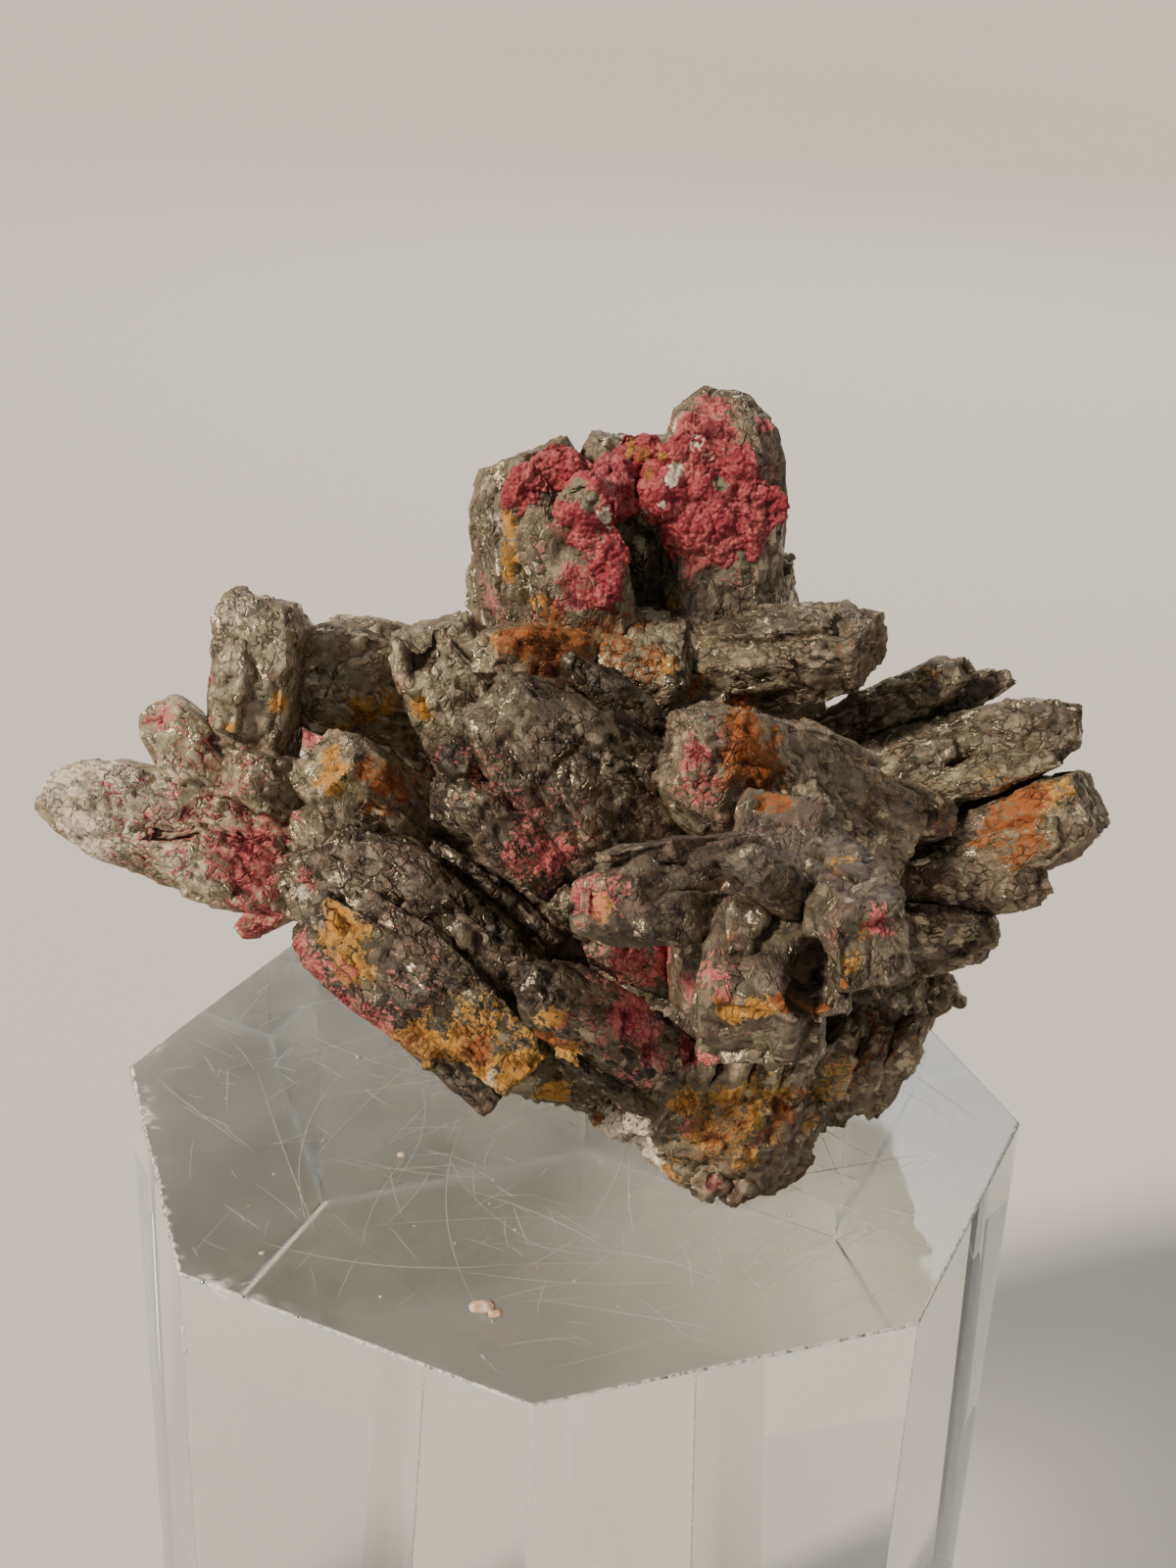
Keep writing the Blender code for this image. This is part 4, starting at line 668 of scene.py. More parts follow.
def comb_plates():
    """The base's row of thin upright plates, evenly spaced, each with its own seeded width and height."""
    chance = random.Random("comb")
    first, last = Vector(COMB_TOP_LEFT), Vector(COMB_TOP_RIGHT)
    found = []
    for i in range(COMB_PLATES):
        top = first.lerp(last, i / (COMB_PLATES - 1))
        top += Vector((0.0, chance.uniform(*COMB_SHIFT_BACK), chance.uniform(*COMB_SHIFT_UP)))
        height = COMB_HEIGHT * chance.uniform(*COMB_STRETCH)
        foot = top + Vector((COMB_LEAN[0] * height, COMB_LEAN[1] * height, -height))
        found.append((foot, top, chance.uniform(*COMB_WIDTH)))
    return found


def spaced(gaps, step, closed):
    """Positions in units of whole corners, close enough to cut each gap into parts no longer than the step."""
    counts = np.maximum(1, np.ceil(gaps / step)).astype(int)
    parts = [i + np.arange(n) / n for i, n in enumerate(counts)]
    return np.concatenate(parts if closed else parts + [[len(gaps)]])


def grid_of(rings, step):
    """A fine grid on coarse rings. The first parameter runs along the rings and the second round them; each
    point is a straight blend of the four corners about it. The end rings shrink evenly to their middles.
    Gives rows by columns by x, y, z, and the two end points."""
    count = rings.shape[1]
    around = spaced(np.linalg.norm(np.roll(rings, -1, 1) - rings, axis=2).max(0), step, True)
    corner = around.astype(int)
    part = (around - corner)[None, :, None]
    rings = rings[:, corner] * (1 - part) + rings[:, (corner + 1) % count] * part
    down = spaced(np.linalg.norm(np.diff(rings, axis=0), axis=2).max(1), step, False)
    ring = np.minimum(down.astype(int), len(rings) - 2)
    part = (down - ring)[:, None, None]
    body = rings[ring] * (1 - part) + rings[ring + 1] * part
    ends = []
    for rim in (rings[0], rings[-1]):
        middle = rim.mean(0)
        rows = max(2, math.ceil(np.linalg.norm(rim - middle, axis=1).max() / step))
        share = (np.arange(1, rows) / rows)[:, None, None]
        ends.append((middle, middle + (rim - middle) * share))
    grid = np.concatenate((ends[0][1], body, ends[1][1][::-1]))
    return grid, np.array((ends[0][0], ends[1][0]))


def outward_normals(grid, poles):
    """Unit normals: the cross product of the steps round and along, turned to point away from the middle."""
    columns = grid.shape[1]
    full = np.concatenate((np.repeat(poles[:1, None], columns, 1), grid, np.repeat(poles[1:, None], columns, 1)))
    along = full[2:] - full[:-2]
    around = np.roll(grid, -1, 1) - np.roll(grid, 1, 1)
    normal = np.cross(around, along)
    normal /= np.maximum(np.linalg.norm(normal, axis=2, keepdims=True), 1e-12)
    if (normal * (grid - grid.mean((0, 1)))).sum() < 0:
        normal = -normal
    at_poles = normal[[0, -1]].mean(1)
    at_poles /= np.maximum(np.linalg.norm(at_poles, axis=1, keepdims=True), 1e-12)
    return normal, at_poles


def grid_faces(rows, columns):
    """Four-sided faces between neighbouring rows, and fans of triangles from the two end points, which are
    numbered after the grid's points."""
    index = np.arange(rows * columns).reshape(rows, columns)
    right = np.roll(index, -1, 1)
    quads = np.stack((index[:-1], right[:-1], right[1:], index[1:]), axis=-1).reshape(-1, 4)
    first, last = rows * columns, rows * columns + 1
    fans = np.concatenate((
        np.stack((right[0], index[0], np.full(columns, first)), axis=-1),
        np.stack((index[-1], right[-1], np.full(columns, last)), axis=-1),
    ))
    return quads, fans


def smooth_step(value, low, high):
    part = np.clip((value - low) / (high - low), 0.0, 1.0)
    return part * part * (3 - 2 * part)


def stain_cover(points, seed):
    """How thickly each film covers each point, from 0 to 1: the strongest of its patches there, each full in
    its middle and fading outwards to a rim that noise makes ragged; on the far side, wherever slow noise is
    high."""
    ragged = (noise(points, STAIN_GRAIN, 11) - 0.5) * STAIN_RAGGED
    ragged += (noise(points, STAIN_GRAIN / 3, 12) - 0.5) * STAIN_RAGGED
    far = smooth_step(points[:, 1], *FAR_STARTS)
    low, high = points.min(0), points.max(0)
    covers = {}
    for i, kind in enumerate(KINDS):
        cover = np.zeros(len(points))
        for x, y, z, radius, strength in STAINS[kind]:
            centre, reach = np.array((x, y, z)), radius * STAIN_REACH
            if (centre < low - 2 * reach).any() or (centre > high + 2 * reach).any():
                continue
            away = np.linalg.norm(points - centre, axis=1) / reach + ragged
            cover = np.maximum(cover, min(1.0, strength * GAINS[kind]) * smooth_step(away, *STAIN_FADE))
        size, limit, strength = FAR_STAINS[kind]
        if far.any() and strength:
            slow = noise(points, size, 20 + i) + ragged * 0.3
            cover = np.maximum(cover, far * strength * smooth_step(slow, limit - 0.10, limit + 0.12))
        covers[kind] = cover
    return covers


def rounded(rings, rounds):
    """Rings whose corners are cut off, round them and along them, each cut leaving two corners for one. The
    flat ends stay where they are."""
    for _ in range(rounds):
        after = np.roll(rings, -1, 1)
        near, far = (1 - ROUND_CUT) * rings + ROUND_CUT * after, ROUND_CUT * rings + (1 - ROUND_CUT) * after
        rings = np.stack((near, far), axis=2).reshape(len(rings), -1, 3)
        ends = [np.broadcast_to(rim.mean(0), rim.shape)[None] for rim in (rings[0], rings[-1])]
        rings = np.concatenate((ends[0], rings, ends[1]))
        near = (1 - ROUND_CUT) * rings[:-1] + ROUND_CUT * rings[1:]
        far = ROUND_CUT * rings[:-1] + (1 - ROUND_CUT) * rings[1:]
        rings = np.stack((near, far), axis=1).reshape(-1, *rings.shape[1:])[1:-1]
    return rings


def grow(rings, skin, seed, step, axes=None):
    """One closed surface with its relief and stains. Each point moves along its normal by the height of the
    broad facets there, plus that of the tiles on them, less a groove where two tiles meet, plus the grains of
    the cinnabar that lies on it. All of it is sunk a little, so that the mean face lies just inside the
    solid's."""
    grid, poles = grid_of(rounded(rings, skin.rounds), step)
    normal, at_poles = outward_normals(grid, poles)
    points = np.concatenate((grid.reshape(-1, 3), poles))
    normals = np.concatenate((normal.reshape(-1, 3), at_poles))
    turn = np.eye(3) if axes is None else np.array([tuple(axis) for axis in axes])
    own = (points - rings[0].mean(0)) @ turn.T
    salt = sum(ord(letter) * (i + 1) for i, letter in enumerate(seed))
    stretch = np.array((1.0, 1.0, skin.stretch))
    warp = np.stack([noise(own, skin.tile * 1.6, salt + k) - 0.5 for k in range(3)], axis=1) * skin.tile
    facet, _, _ = flakes(own + warp, FACET * stretch, salt)
    tile, gap, fleck = flakes(own + 0.5 * warp, skin.tile * stretch, salt + 5)
    groove = 1 - smooth_step(gap, 0.0, GROOVE)
    relief = skin.facet * (facet - FLAKE_MEAN) + skin.rise * (tile - FLAKE_MEAN - 0.5 * groove) - SINK
    # How sunk each point lies, in the grooves between tiles, in low tiles and in the pits below: films gather there,
    # and the material darkens it as painted shade
    hollow = np.clip(0.6 * groove + 0.9 * (FLAKE_MEAN - tile), 0.0, 1.0)
    cover = stain_cover(points, salt)
    thick = cover["crust"]
    film = np.maximum(cover["cinnabar"], thick)
    lumps = grains(points + 0.2 * (noise(points, 0.5, 31)[:, None] - 0.5), GRAIN_SIZE, 30)
    relief = relief * (1 - 0.5 * thick) + film * FILM_HEIGHT
    relief += thick * (CRUST_HEIGHT * noise(points, 1.7, 32) + GRAIN_HEIGHT * (lumps - 0.5))
    for centre, radii in PITS:
        inside = 1 - (((points - centre) / radii) ** 2).sum(1)
        dent = np.sqrt(np.clip(inside, 0.0, 1.0))
        relief -= dent * min(radii) * 1.3
        hollow = np.maximum(hollow, dent)
    points = points + normals * relief[:, None]
    points[:, 2] = np.maximum(points[:, 2], REST)
    tone = skin.tone + 0.20 * (fleck - 0.5) + 0.3 * (noise(own, 5.0, salt + 9) - 0.5)
    quads, fans = grid_faces(*grid.shape[:2])
    fields = {"tone": tone, "hollow": hollow, "fleck": fleck, "crisp": np.full(len(points), skin.crisp),
              "glint": cover["glint"],
              "pale": cover["pale"], "ochre": cover["ochre"], "rust": cover["rust"], "cinnabar": film}
    return points, quads, fans, fields, own + salt % 97


def signed_volume(points, quads, fans):
    """Six times the volume inside: the triple products of every triangle's corners, added up."""
    corners = np.concatenate((quads[:, :3], quads[:, [0, 2, 3]], fans))
    a, b, c = (points[corners[:, i]] for i in range(3))
    return (a * np.cross(b, c)).sum()


def piece_of(name, surfaces, material, slot, *nodes):
    """One object from closed surfaces, with their fields as attributes. Millimetres above the block's top
    become metres in the row frame."""
    points, quads, fans, grain, fields, offset = [], [], [], [], {}, 0
    for at, four, three, own, local in surfaces:
        if signed_volume(at, four, three) < 0:
            four, three = four[:, ::-1], three[:, ::-1]
        points.append(at)
        quads.append(four + offset)
        fans.append(three + offset)
        grain.append(local)
        for key, values in own.items():
            fields.setdefault(key, []).append(values)
        offset += len(at)
    points = np.concatenate(points) * MM + (0.0, 0.0, BLOCK_TOP)
    quads, fans = np.concatenate(quads), np.concatenate(fans)
    mesh = bpy.data.meshes.new(name)
    mesh.vertices.add(len(points))
    mesh.vertices.foreach_set("co", points.astype(np.float32).ravel())
    mesh.loops.add(quads.size + fans.size)
    mesh.loops.foreach_set("vertex_index", np.concatenate((quads.ravel(), fans.ravel())).astype(np.int32))
    mesh.polygons.add(len(quads) + len(fans))
    starts = np.concatenate((np.arange(len(quads)) * 4, quads.size + np.arange(len(fans)) * 3))
    mesh.polygons.foreach_set("loop_start", starts.astype(np.int32))
    mesh.update(calc_edges=True)
    mesh.shade_smooth()
    for key, values in fields.items():
        mesh.attributes.new(key, "FLOAT", "POINT").data.foreach_set("value", np.concatenate(values).astype(np.float32))
    local = (np.concatenate(grain) * MM).astype(np.float32).ravel()
    mesh.attributes.new("grain", "FLOAT_VECTOR", "POINT").data.foreach_set("vector", local)
    mesh.materials.append(material)
    piece = bpy.data.objects.new(name, mesh)
    bpy.context.scene.collection.objects.link(piece)
    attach(piece, "root")
    if nodes:
        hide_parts(*nodes)
    return piece


def crystal_surfaces(crystal, skin, step):
    """A crystal and the plates on its sides."""
    name, base, tip, width, depth, faces, form, _, end = crystal
    axes = axes_of(Vector(base), Vector(tip), faces)
    yield grow(crystal_rings(base, tip, width, depth, faces, form, name, end), skin, name, step, axes)
    for i, (low, high, wide, thick, outward) in enumerate(ledges_of(crystal)):
        seed = f"{name}_ledge_{i}"
        rings = crystal_rings(low, high, wide, thick, outward, PLATE, seed, None, sunk=True)
        yield grow(rings, skin, seed, step, axes_of(low, high, outward))


# The numbered sockets of a Mix node that mixes colours
MIX_A, MIX_B, MIX_OUT = 6, 7, 2


def add(tree, kind, inputs=(), out=0, **settings):
    """Adds a node with its settings, sets each input to a value or links it to another node's output, and
    gives the output that the next node reads."""
    node = tree.nodes.new(kind)
    for key, value in settings.items():
        setattr(node, key, value)
    for socket, value in dict(inputs).items():
        if isinstance(value, bpy.types.NodeSocket):
            tree.links.new(value, node.inputs[socket])
        else:
            node.inputs[socket].default_value = value
    return node.outputs[out]


def new_material(name):
    material = bpy.data.materials.new(name)
    material.use_nodes = True
    return material, material.node_tree, material.node_tree.nodes["Principled BSDF"]


def per_mm(size):
    """A texture's scale for features of this many millimetres."""
    return 1.0 / (size * MM)


# The settings of the nodes that are used most
BLEND = {"data_type": "RGBA", "out": MIX_OUT}
EASED = {"interpolation_type": "SMOOTHSTEP"}


def filmed(node, colour, keys, hollow, speck, patch):
    """Lays films over a colour. A film shows where its cover passes a limit that fine and slow noise move up
    and down and that hollows lower, so dust gathers in grooves and rims break up. Gives the colour and how
    much of it is film."""
    films = {
        "pale": (hue_of("pale"), hue_of("pale_deep")), "ochre": (hue_of("ochre"), hue_of("ochre_deep")),
        "rust": (hue_of("rust"), hue_of("rust_deep")), "cinnabar": (hue_of("cinnabar_light"), hue_of("cinnabar")),
        "bare": (hue_of("middle"), hue_of("middle")),
    }
    limit = node("ShaderNodeMath", {0: speck, 1: -2.6, 2: 2.60}, operation="MULTIPLY_ADD")
    limit = node("ShaderNodeMath", {0: patch, 1: -1.3, 2: limit}, operation="MULTIPLY_ADD")
    limit = node("ShaderNodeMath", {0: hollow, 1: -0.35, 2: limit}, operation="MULTIPLY_ADD")
    limit = node("ShaderNodeMath", {0: limit, 1: 0.14}, operation="MAXIMUM")
    total = None
    for key in keys:
        cover = node("ShaderNodeAttribute", out="Fac", attribute_name=key)
        above = node("ShaderNodeMath", {0: cover, 1: limit}, operation="SUBTRACT")
        share = node("ShaderNodeMapRange", {0: above, 1: -0.07, 2: 0.07}, **EASED)
        thick = node("ShaderNodeMapRange", {0: above, 1: 0.05, 2: 0.75}, **EASED)
        thin, deep = films[key]
        paint = node("ShaderNodeMix", {0: thick, MIX_A: thin, MIX_B: deep}, **BLEND)
        colour = node("ShaderNodeMix", {0: share, MIX_A: colour, MIX_B: paint}, **BLEND)
        total = share if total is None else node("ShaderNodeMath", {0: total, 1: share}, operation="MAXIMUM")
    return colour, total


def hue_of(key):
    return (*getattr(bpy.context.scene.specimen_settings, key), 1.0)


def marcasite_material():
    """Marcasite, grown as rough crystals: a sub-metallic olive grey iron sulphide whose small faces sparkle
    where they catch the light, tarnished to bronze and weathered to rust and ochre. Granular cinnabar, a dull
    crimson mercury sulphide, and pale matrix dust it over."""
    material, tree, shader = new_material("marcasite with cinnabar and iron stains")
    node = partial(add, tree)
    own = node("ShaderNodeAttribute", out="Vector", attribute_name="grain")
    where = node("ShaderNodeTexCoord", out="Object")
    tone = node("ShaderNodeAttribute", out="Fac", attribute_name="tone")
    hollow = node("ShaderNodeAttribute", out="Fac", attribute_name="hollow")
    fleck = node("ShaderNodeAttribute", out="Fac", attribute_name="fleck")
    crisp = node("ShaderNodeAttribute", out="Fac", attribute_name="crisp")
    mottle = node("ShaderNodeTexNoise", {0: where, "Scale": per_mm(0.7), "Detail": 5.0, "Roughness": 0.65})
    slow = node("ShaderNodeTexNoise", {0: where, "Scale": per_mm(4.0), "Detail": 3.0})
    patch = node("ShaderNodeTexNoise", {0: where, "Scale": per_mm(1.5), "Detail": 3.0})
    speck = node("ShaderNodeTexNoise", {0: where, "Scale": per_mm(0.3), "Detail": 4.0, "Roughness": 0.7})
    bend = node("ShaderNodeTexNoise", {0: own, "Scale": per_mm(0.9), "Detail": 3.0}, out="Color")
    bend = node("ShaderNodeVectorMath", {0: bend, 1: (0.9 * MM,) * 3, 2: own}, operation="MULTIPLY_ADD")
    along = node("ShaderNodeMapping", {0: bend, 3: (1.0, 1.0, 0.6)})
    chips = node("ShaderNodeTexVoronoi", {0: along, "Scale": per_mm(0.6)}, out="Color")
    cracks = node("ShaderNodeTexVoronoi", {0: along, "Scale": per_mm(0.6)}, feature="DISTANCE_TO_EDGE")

    # The metal: dark to light by tone, with bronze tarnish in slow patches and a few bright chips of fresh metal,
    # whose colour is also lightened as a painted highlight; the glint field gathers them into given spots
    chip = node("ShaderNodeSeparateColor", {0: chips})
    tone = node("ShaderNodeMath", {0: mottle, 1: 0.7, 2: tone}, operation="MULTIPLY_ADD")
    tone = node("ShaderNodeMath", {0: chip, 1: 0.22, 2: tone}, operation="MULTIPLY_ADD")
    low = node("ShaderNodeMapRange", {0: tone, 1: 0.55, 2: 0.95})
    high = node("ShaderNodeMapRange", {0: tone, 1: 0.95, 2: 1.45})
    metal = node("ShaderNodeMix", {0: low, MIX_A: hue_of("dark"), MIX_B: hue_of("middle")}, **BLEND)
    metal = node("ShaderNodeMix", {0: high, MIX_A: metal, MIX_B: hue_of("light")}, **BLEND)
    tarnish = node("ShaderNodeMapRange", {0: slow, 1: 0.46, 2: 0.70, 4: 0.6}, **EASED)
    metal = node("ShaderNodeMix", {0: tarnish, MIX_A: metal, MIX_B: hue_of("bronze")}, **BLEND)
    glint = node("ShaderNodeAttribute", out="Fac", attribute_name="glint")
    bright = node("ShaderNodeMath", {0: glint, 1: 0.45, 2: chip}, operation="MULTIPLY_ADD")
    bright = node("ShaderNodeMapRange", {0: bright, 1: 0.86, 2: 0.89})
    plate = node("ShaderNodeMapRange", {0: fleck, 1: 0.87, 2: 0.91})
    bright = node("ShaderNodeMath", {0: bright, 1: plate}, operation="MAXIMUM")
    # Painted highlight: the bright chips' colour is pushed towards bright marcasite, besides the metal and gloss given
    # below
    share = node("ShaderNodeMath", {0: bright, 1: 0.4}, operation="MULTIPLY")
    metal = node("ShaderNodeMix", {0: share, MIX_A: metal, MIX_B: hue_of("light")}, **BLEND)

    colour, films = filmed(node, metal, ("pale", "ochre", "rust", "cinnabar"), hollow, speck, patch)
    # Painted shade: the colour is darkened in hollows, grooves and pits, and along the cracks between the fine tiles
    # where they are keen
    shade = node("ShaderNodeMapRange", {0: hollow, 1: 0.15, 2: 1.0, 3: 1.0, 4: 0.40}, **EASED)
    line = node("ShaderNodeMapRange", {0: cracks, 1: 0.0, 2: 0.09, 3: -0.42, 4: 0.0}, **EASED)
    keen = node("ShaderNodeMapRange", {0: patch, 1: 0.42, 2: 0.60, 3: 0.15, 4: 1.0}, **EASED)
    keen = node("ShaderNodeMath", {0: keen, 1: crisp}, operation="MULTIPLY")
    line = node("ShaderNodeMath", {0: line, 1: keen, 2: 1.0}, operation="MULTIPLY_ADD")
    shade = node("ShaderNodeMath", {0: shade, 1: line}, operation="MULTIPLY")
    shade = node("ShaderNodeCombineColor", {0: shade, 1: shade, 2: shade})
    colour = node("ShaderNodeMix", {0: 1.0, MIX_A: colour, MIX_B: shade}, blend_type="MULTIPLY", **BLEND)
    tree.links.new(colour, shader.inputs["Base Color"])

    bare = node("ShaderNodeMath", {0: 1.0, 1: films}, operation="SUBTRACT")
    bright = node("ShaderNodeMath", {0: bright, 1: bare}, operation="MULTIPLY")
    metallic = node("ShaderNodeMath", {0: crisp, 1: 0.42}, operation="MULTIPLY")
    metallic = node("ShaderNodeMath", {0: bright, 1: 0.45, 2: metallic}, operation="MULTIPLY_ADD")
    tree.links.new(node("ShaderNodeMath", {0: metallic, 1: bare}, operation="MULTIPLY"), shader.inputs["Metallic"])
    rough = node("ShaderNodeMath", {0: mottle, 1: 0.4, 2: 0.50}, operation="MULTIPLY_ADD")
    rough = node("ShaderNodeMath", {0: crisp, 1: -0.2, 2: rough}, operation="MULTIPLY_ADD")
    rough = node("ShaderNodeMath", {0: films, 1: 0.28, 2: rough}, operation="MULTIPLY_ADD")
    rough = node("ShaderNodeMath", {0: bright, 1: -0.28, 2: rough}, operation="MULTIPLY_ADD")
    tree.links.new(rough, shader.inputs["Roughness"])

    # Fine grain, and tiles of 0.6 mm that each swell a little and lean their own way
    bump = node("ShaderNodeBump", {"Strength": 1.0, "Distance": 0.10 * MM, "Height": speck})
    swell = node("ShaderNodeMapRange", {0: cracks, 1: 0.0, 2: 0.14})
    swell = node("ShaderNodeMath", {0: swell, 1: keen}, operation="MULTIPLY")
    bump = node("ShaderNodeBump", {"Strength": 1.0, "Distance": 0.10 * MM, "Normal": bump, "Height": swell})
    lean = node("ShaderNodeVectorMath", {0: chips, 1: (0.5, 0.5, 0.5)}, operation="SUBTRACT")
    lean = node("ShaderNodeVectorMath", {0: lean, "Scale": crisp}, operation="SCALE")
    lean = node("ShaderNodeVectorMath", {0: lean, 1: (0.75, 0.75, 0.75), 2: bump}, operation="MULTIPLY_ADD")
    tree.links.new(node("ShaderNodeVectorMath", {0: lean}, operation="NORMALIZE"), shader.inputs["Normal"])
    return material


def cinnabar_material():
    """Cinnabar, grown as a granular crust: a dull to faintly greasy crimson mercury sulphide, paler where
    powdery grains stand out, with painted shade darkening it between them, and specks of ochre and white."""
    material, tree, shader = new_material("granular cinnabar")
    node = partial(add, tree)
    where = node("ShaderNodeTexCoord", out="Object")
    hollow = node("ShaderNodeAttribute", out="Fac", attribute_name="hollow")
    speck = node("ShaderNodeTexNoise", {0: where, "Scale": per_mm(0.3), "Detail": 4.0, "Roughness": 0.7})
    patch = node("ShaderNodeTexNoise", {0: where, "Scale": per_mm(1.5), "Detail": 3.0})
    grain = node("ShaderNodeTexVoronoi", {0: where, "Scale": per_mm(0.33)})
    powder = node("ShaderNodeMath", {0: patch, 1: 0.6, 2: speck}, operation="MULTIPLY_ADD")
    powder = node("ShaderNodeMapRange", {0: powder, 1: 0.68, 2: 0.98, 4: 0.85}, **EASED)
    red = node("ShaderNodeMix", {0: powder, MIX_A: hue_of("cinnabar"), MIX_B: hue_of("cinnabar_light")}, **BLEND)
    red, _ = filmed(node, red, ("pale", "ochre", "rust", "bare"), hollow, speck, patch)
    # Painted shade: the red is darkened in the hollows between grains
    shade = node("ShaderNodeMapRange", {0: hollow, 1: 0.1, 2: 1.0, 3: 1.0, 4: 0.38}, **EASED)
    shade = node("ShaderNodeCombineColor", {0: shade, 1: shade, 2: shade})
    red = node("ShaderNodeMix", {0: 1.0, MIX_A: red, MIX_B: shade}, blend_type="MULTIPLY", **BLEND)
    tree.links.new(red, shader.inputs["Base Color"])
    rough = node("ShaderNodeMath", {0: speck, 1: 0.5, 2: 0.36}, operation="MULTIPLY_ADD")
    tree.links.new(rough, shader.inputs["Roughness"])
    bump = node("ShaderNodeBump", {"Strength": 1.0, "Distance": 0.20 * MM, "Height": speck})
    bump = node("ShaderNodeBump", {"Strength": 0.9, "Distance": 0.16 * MM, "Normal": bump, "Height": grain},
                invert=True)
    tree.links.new(bump, shader.inputs["Normal"])
    return material


class SPECIMEN_OT_crystals(bpy.types.Operator):
    """Grow the marcasite crystals, group by group"""
    bl_idname = "specimen.crystals"
    bl_label = "Marcasite crystals"

    def execute(self, context):
        material = marcasite_material()
        step = context.scene.specimen_settings.step / MM
        for name, (skin, crystals) in CRYSTALS.items():
            surfaces = [surface for crystal in crystals for surface in crystal_surfaces(crystal, skin, step)]
            piece_of(name, surfaces, material, "marcasite", "marcasite_cluster")
        return {"FINISHED"}


class SPECIMEN_OT_matrix(bpy.types.Operator):
    """Grow the core, the matrix base with its knobs, and the row of small plates along its front"""
    bl_idname = "specimen.matrix"
    bl_label = "Core and matrix base"

    def execute(self, context):
        material = bpy.data.materials["marcasite with cinnabar and iron stains"]
        step = context.scene.specimen_settings.step / MM
        core, surfaces, comb = [], [], []
        for lump in LUMPS:
            hidden = lump.name in HIDDEN_LUMPS
            rings = lump_rings(lump.centre, lump.radii, LUMP_SIDES, LUMP_RINGS, lump.name, LUMP_WOBBLE)
            (core if hidden else surfaces).append(grow(rings, EARTHY, lump.name, step * (1.7 if hidden else 1.2)))
        by_name = {lump.name: lump for lump in LUMPS}
        for name, count in KNOBBED:
            for i, (centre, size) in enumerate(knobs_on(by_name[name], count)):
                seed = f"{name}_knob_{i}"
                radii = (size, size, size * KNOB_FLATNESS)
                rings = lump_rings(centre, radii, KNOB_SIDES, KNOB_RINGS, seed, KNOB_WOBBLE)
                surfaces.append(grow(rings, EARTHY, seed, step))
        for i, (foot, top, width) in enumerate(comb_plates()):
            seed = f"comb_plate_{i}"
            rings = crystal_rings(foot, top, width, COMB_DEPTH, FRONT, SHARD, seed)
            comb.append(grow(rings, STRIATED, seed, step, axes_of(foot, top, FRONT)))
        for name, parts in (("cluster_core", core), ("matrix_base", surfaces), ("base_plates", comb)):
            piece_of(name, parts, material, "marcasite", "marcasite_cluster")
        return {"FINISHED"}


class SPECIMEN_OT_crust(bpy.types.Operator):
    """Grow the thick granular cinnabar on the upright crystals"""
    bl_idname = "specimen.crust"
    bl_label = "Cinnabar crust"

    def execute(self, context):
        step = context.scene.specimen_settings.crust_step / MM
        by_name = {crystal.name: crystal for _, crystals in CRYSTALS.values() for crystal in crystals}
        spots = []
        for name, aside, share, radius in CRUST_SPOTS:
            crystal = by_name[name]
            base, tip = Vector(crystal.base), Vector(crystal.tip)
            across, through, _ = axes_of(base, tip, crystal.faces)
            centre = base.lerp(tip, share) + across * aside + through * crystal.depth / 2
            spots.append((centre, radius, radius * CRUST_THICKNESS * CRUST_SETTLED))
        spots += [(centre, radius * CORNER_SETTLED, radius * CORNER_SETTLED) for centre, radius in CRUST_CORNERS]
        surfaces = []
        for i, (centre, radius, thickness) in enumerate(spots):
            rings = lump_rings(centre, (radius, thickness, radius), CRUST_SIDES, CRUST_RINGS, f"crust_{i}",
                               LUMP_WOBBLE)
            surfaces.append(granular(rings, step))
        piece_of("cinnabar_growth", surfaces, cinnabar_material(), "cinnabar", "cinnabar_crust")
        return {"FINISHED"}


def granular(rings, step):
    """A closed lump of grains: each point moves along its normal by slow noise, which makes the rim ragged, by
    round grains and by fine ones between them."""
    grid, poles = grid_of(rounded(rings, 1), step)
    normal, at_poles = outward_normals(grid, poles)
    points = np.concatenate((grid.reshape(-1, 3), poles))
    normals = np.concatenate((normal.reshape(-1, 3), at_poles))
    warped = points + 0.35 * (np.stack([noise(points, 0.6, 31 + k) for k in range(3)], axis=1) - 0.5)
    coarse = 0.6 * noise(points, 1.6, 41) + 0.4 * noise(points, 0.8, 45)
    lumps = grains(warped, 1.7 * GRAIN_SIZE, 42)
    small = grains(warped, GRAIN_SIZE, 43)
    relief = 1.3 * (coarse - 0.58) + CRUST_HEIGHT * (lumps - 0.7) + GRAIN_HEIGHT * (small - 0.7)
    # How sunk each point lies between the grains: films gather there, and the crust's material darkens it as painted
    # shade
    hollow = 1 - smooth_step(0.3 * coarse + 0.35 * lumps + 0.35 * small, 0.30, 0.75)
    cover = stain_cover(points, 0)
    bare = np.zeros(len(points))
    for x, y, z, radius in BARE_SPOTS:
        away = np.linalg.norm(points - (x, y, z), axis=1) / radius + 0.5 * (noise(points, 0.6, 44) - 0.5)
        bare = np.maximum(bare, smooth_step(away, 1.25, 0.75))
    points = points + normals * relief[:, None]
    quads, fans = grid_faces(*grid.shape[:2])
    fields = {"hollow": hollow, "bare": bare, "pale": cover["pale"], "ochre": cover["ochre"],
              "rust": cover["rust"]}
    return points, quads, fans, fields, points


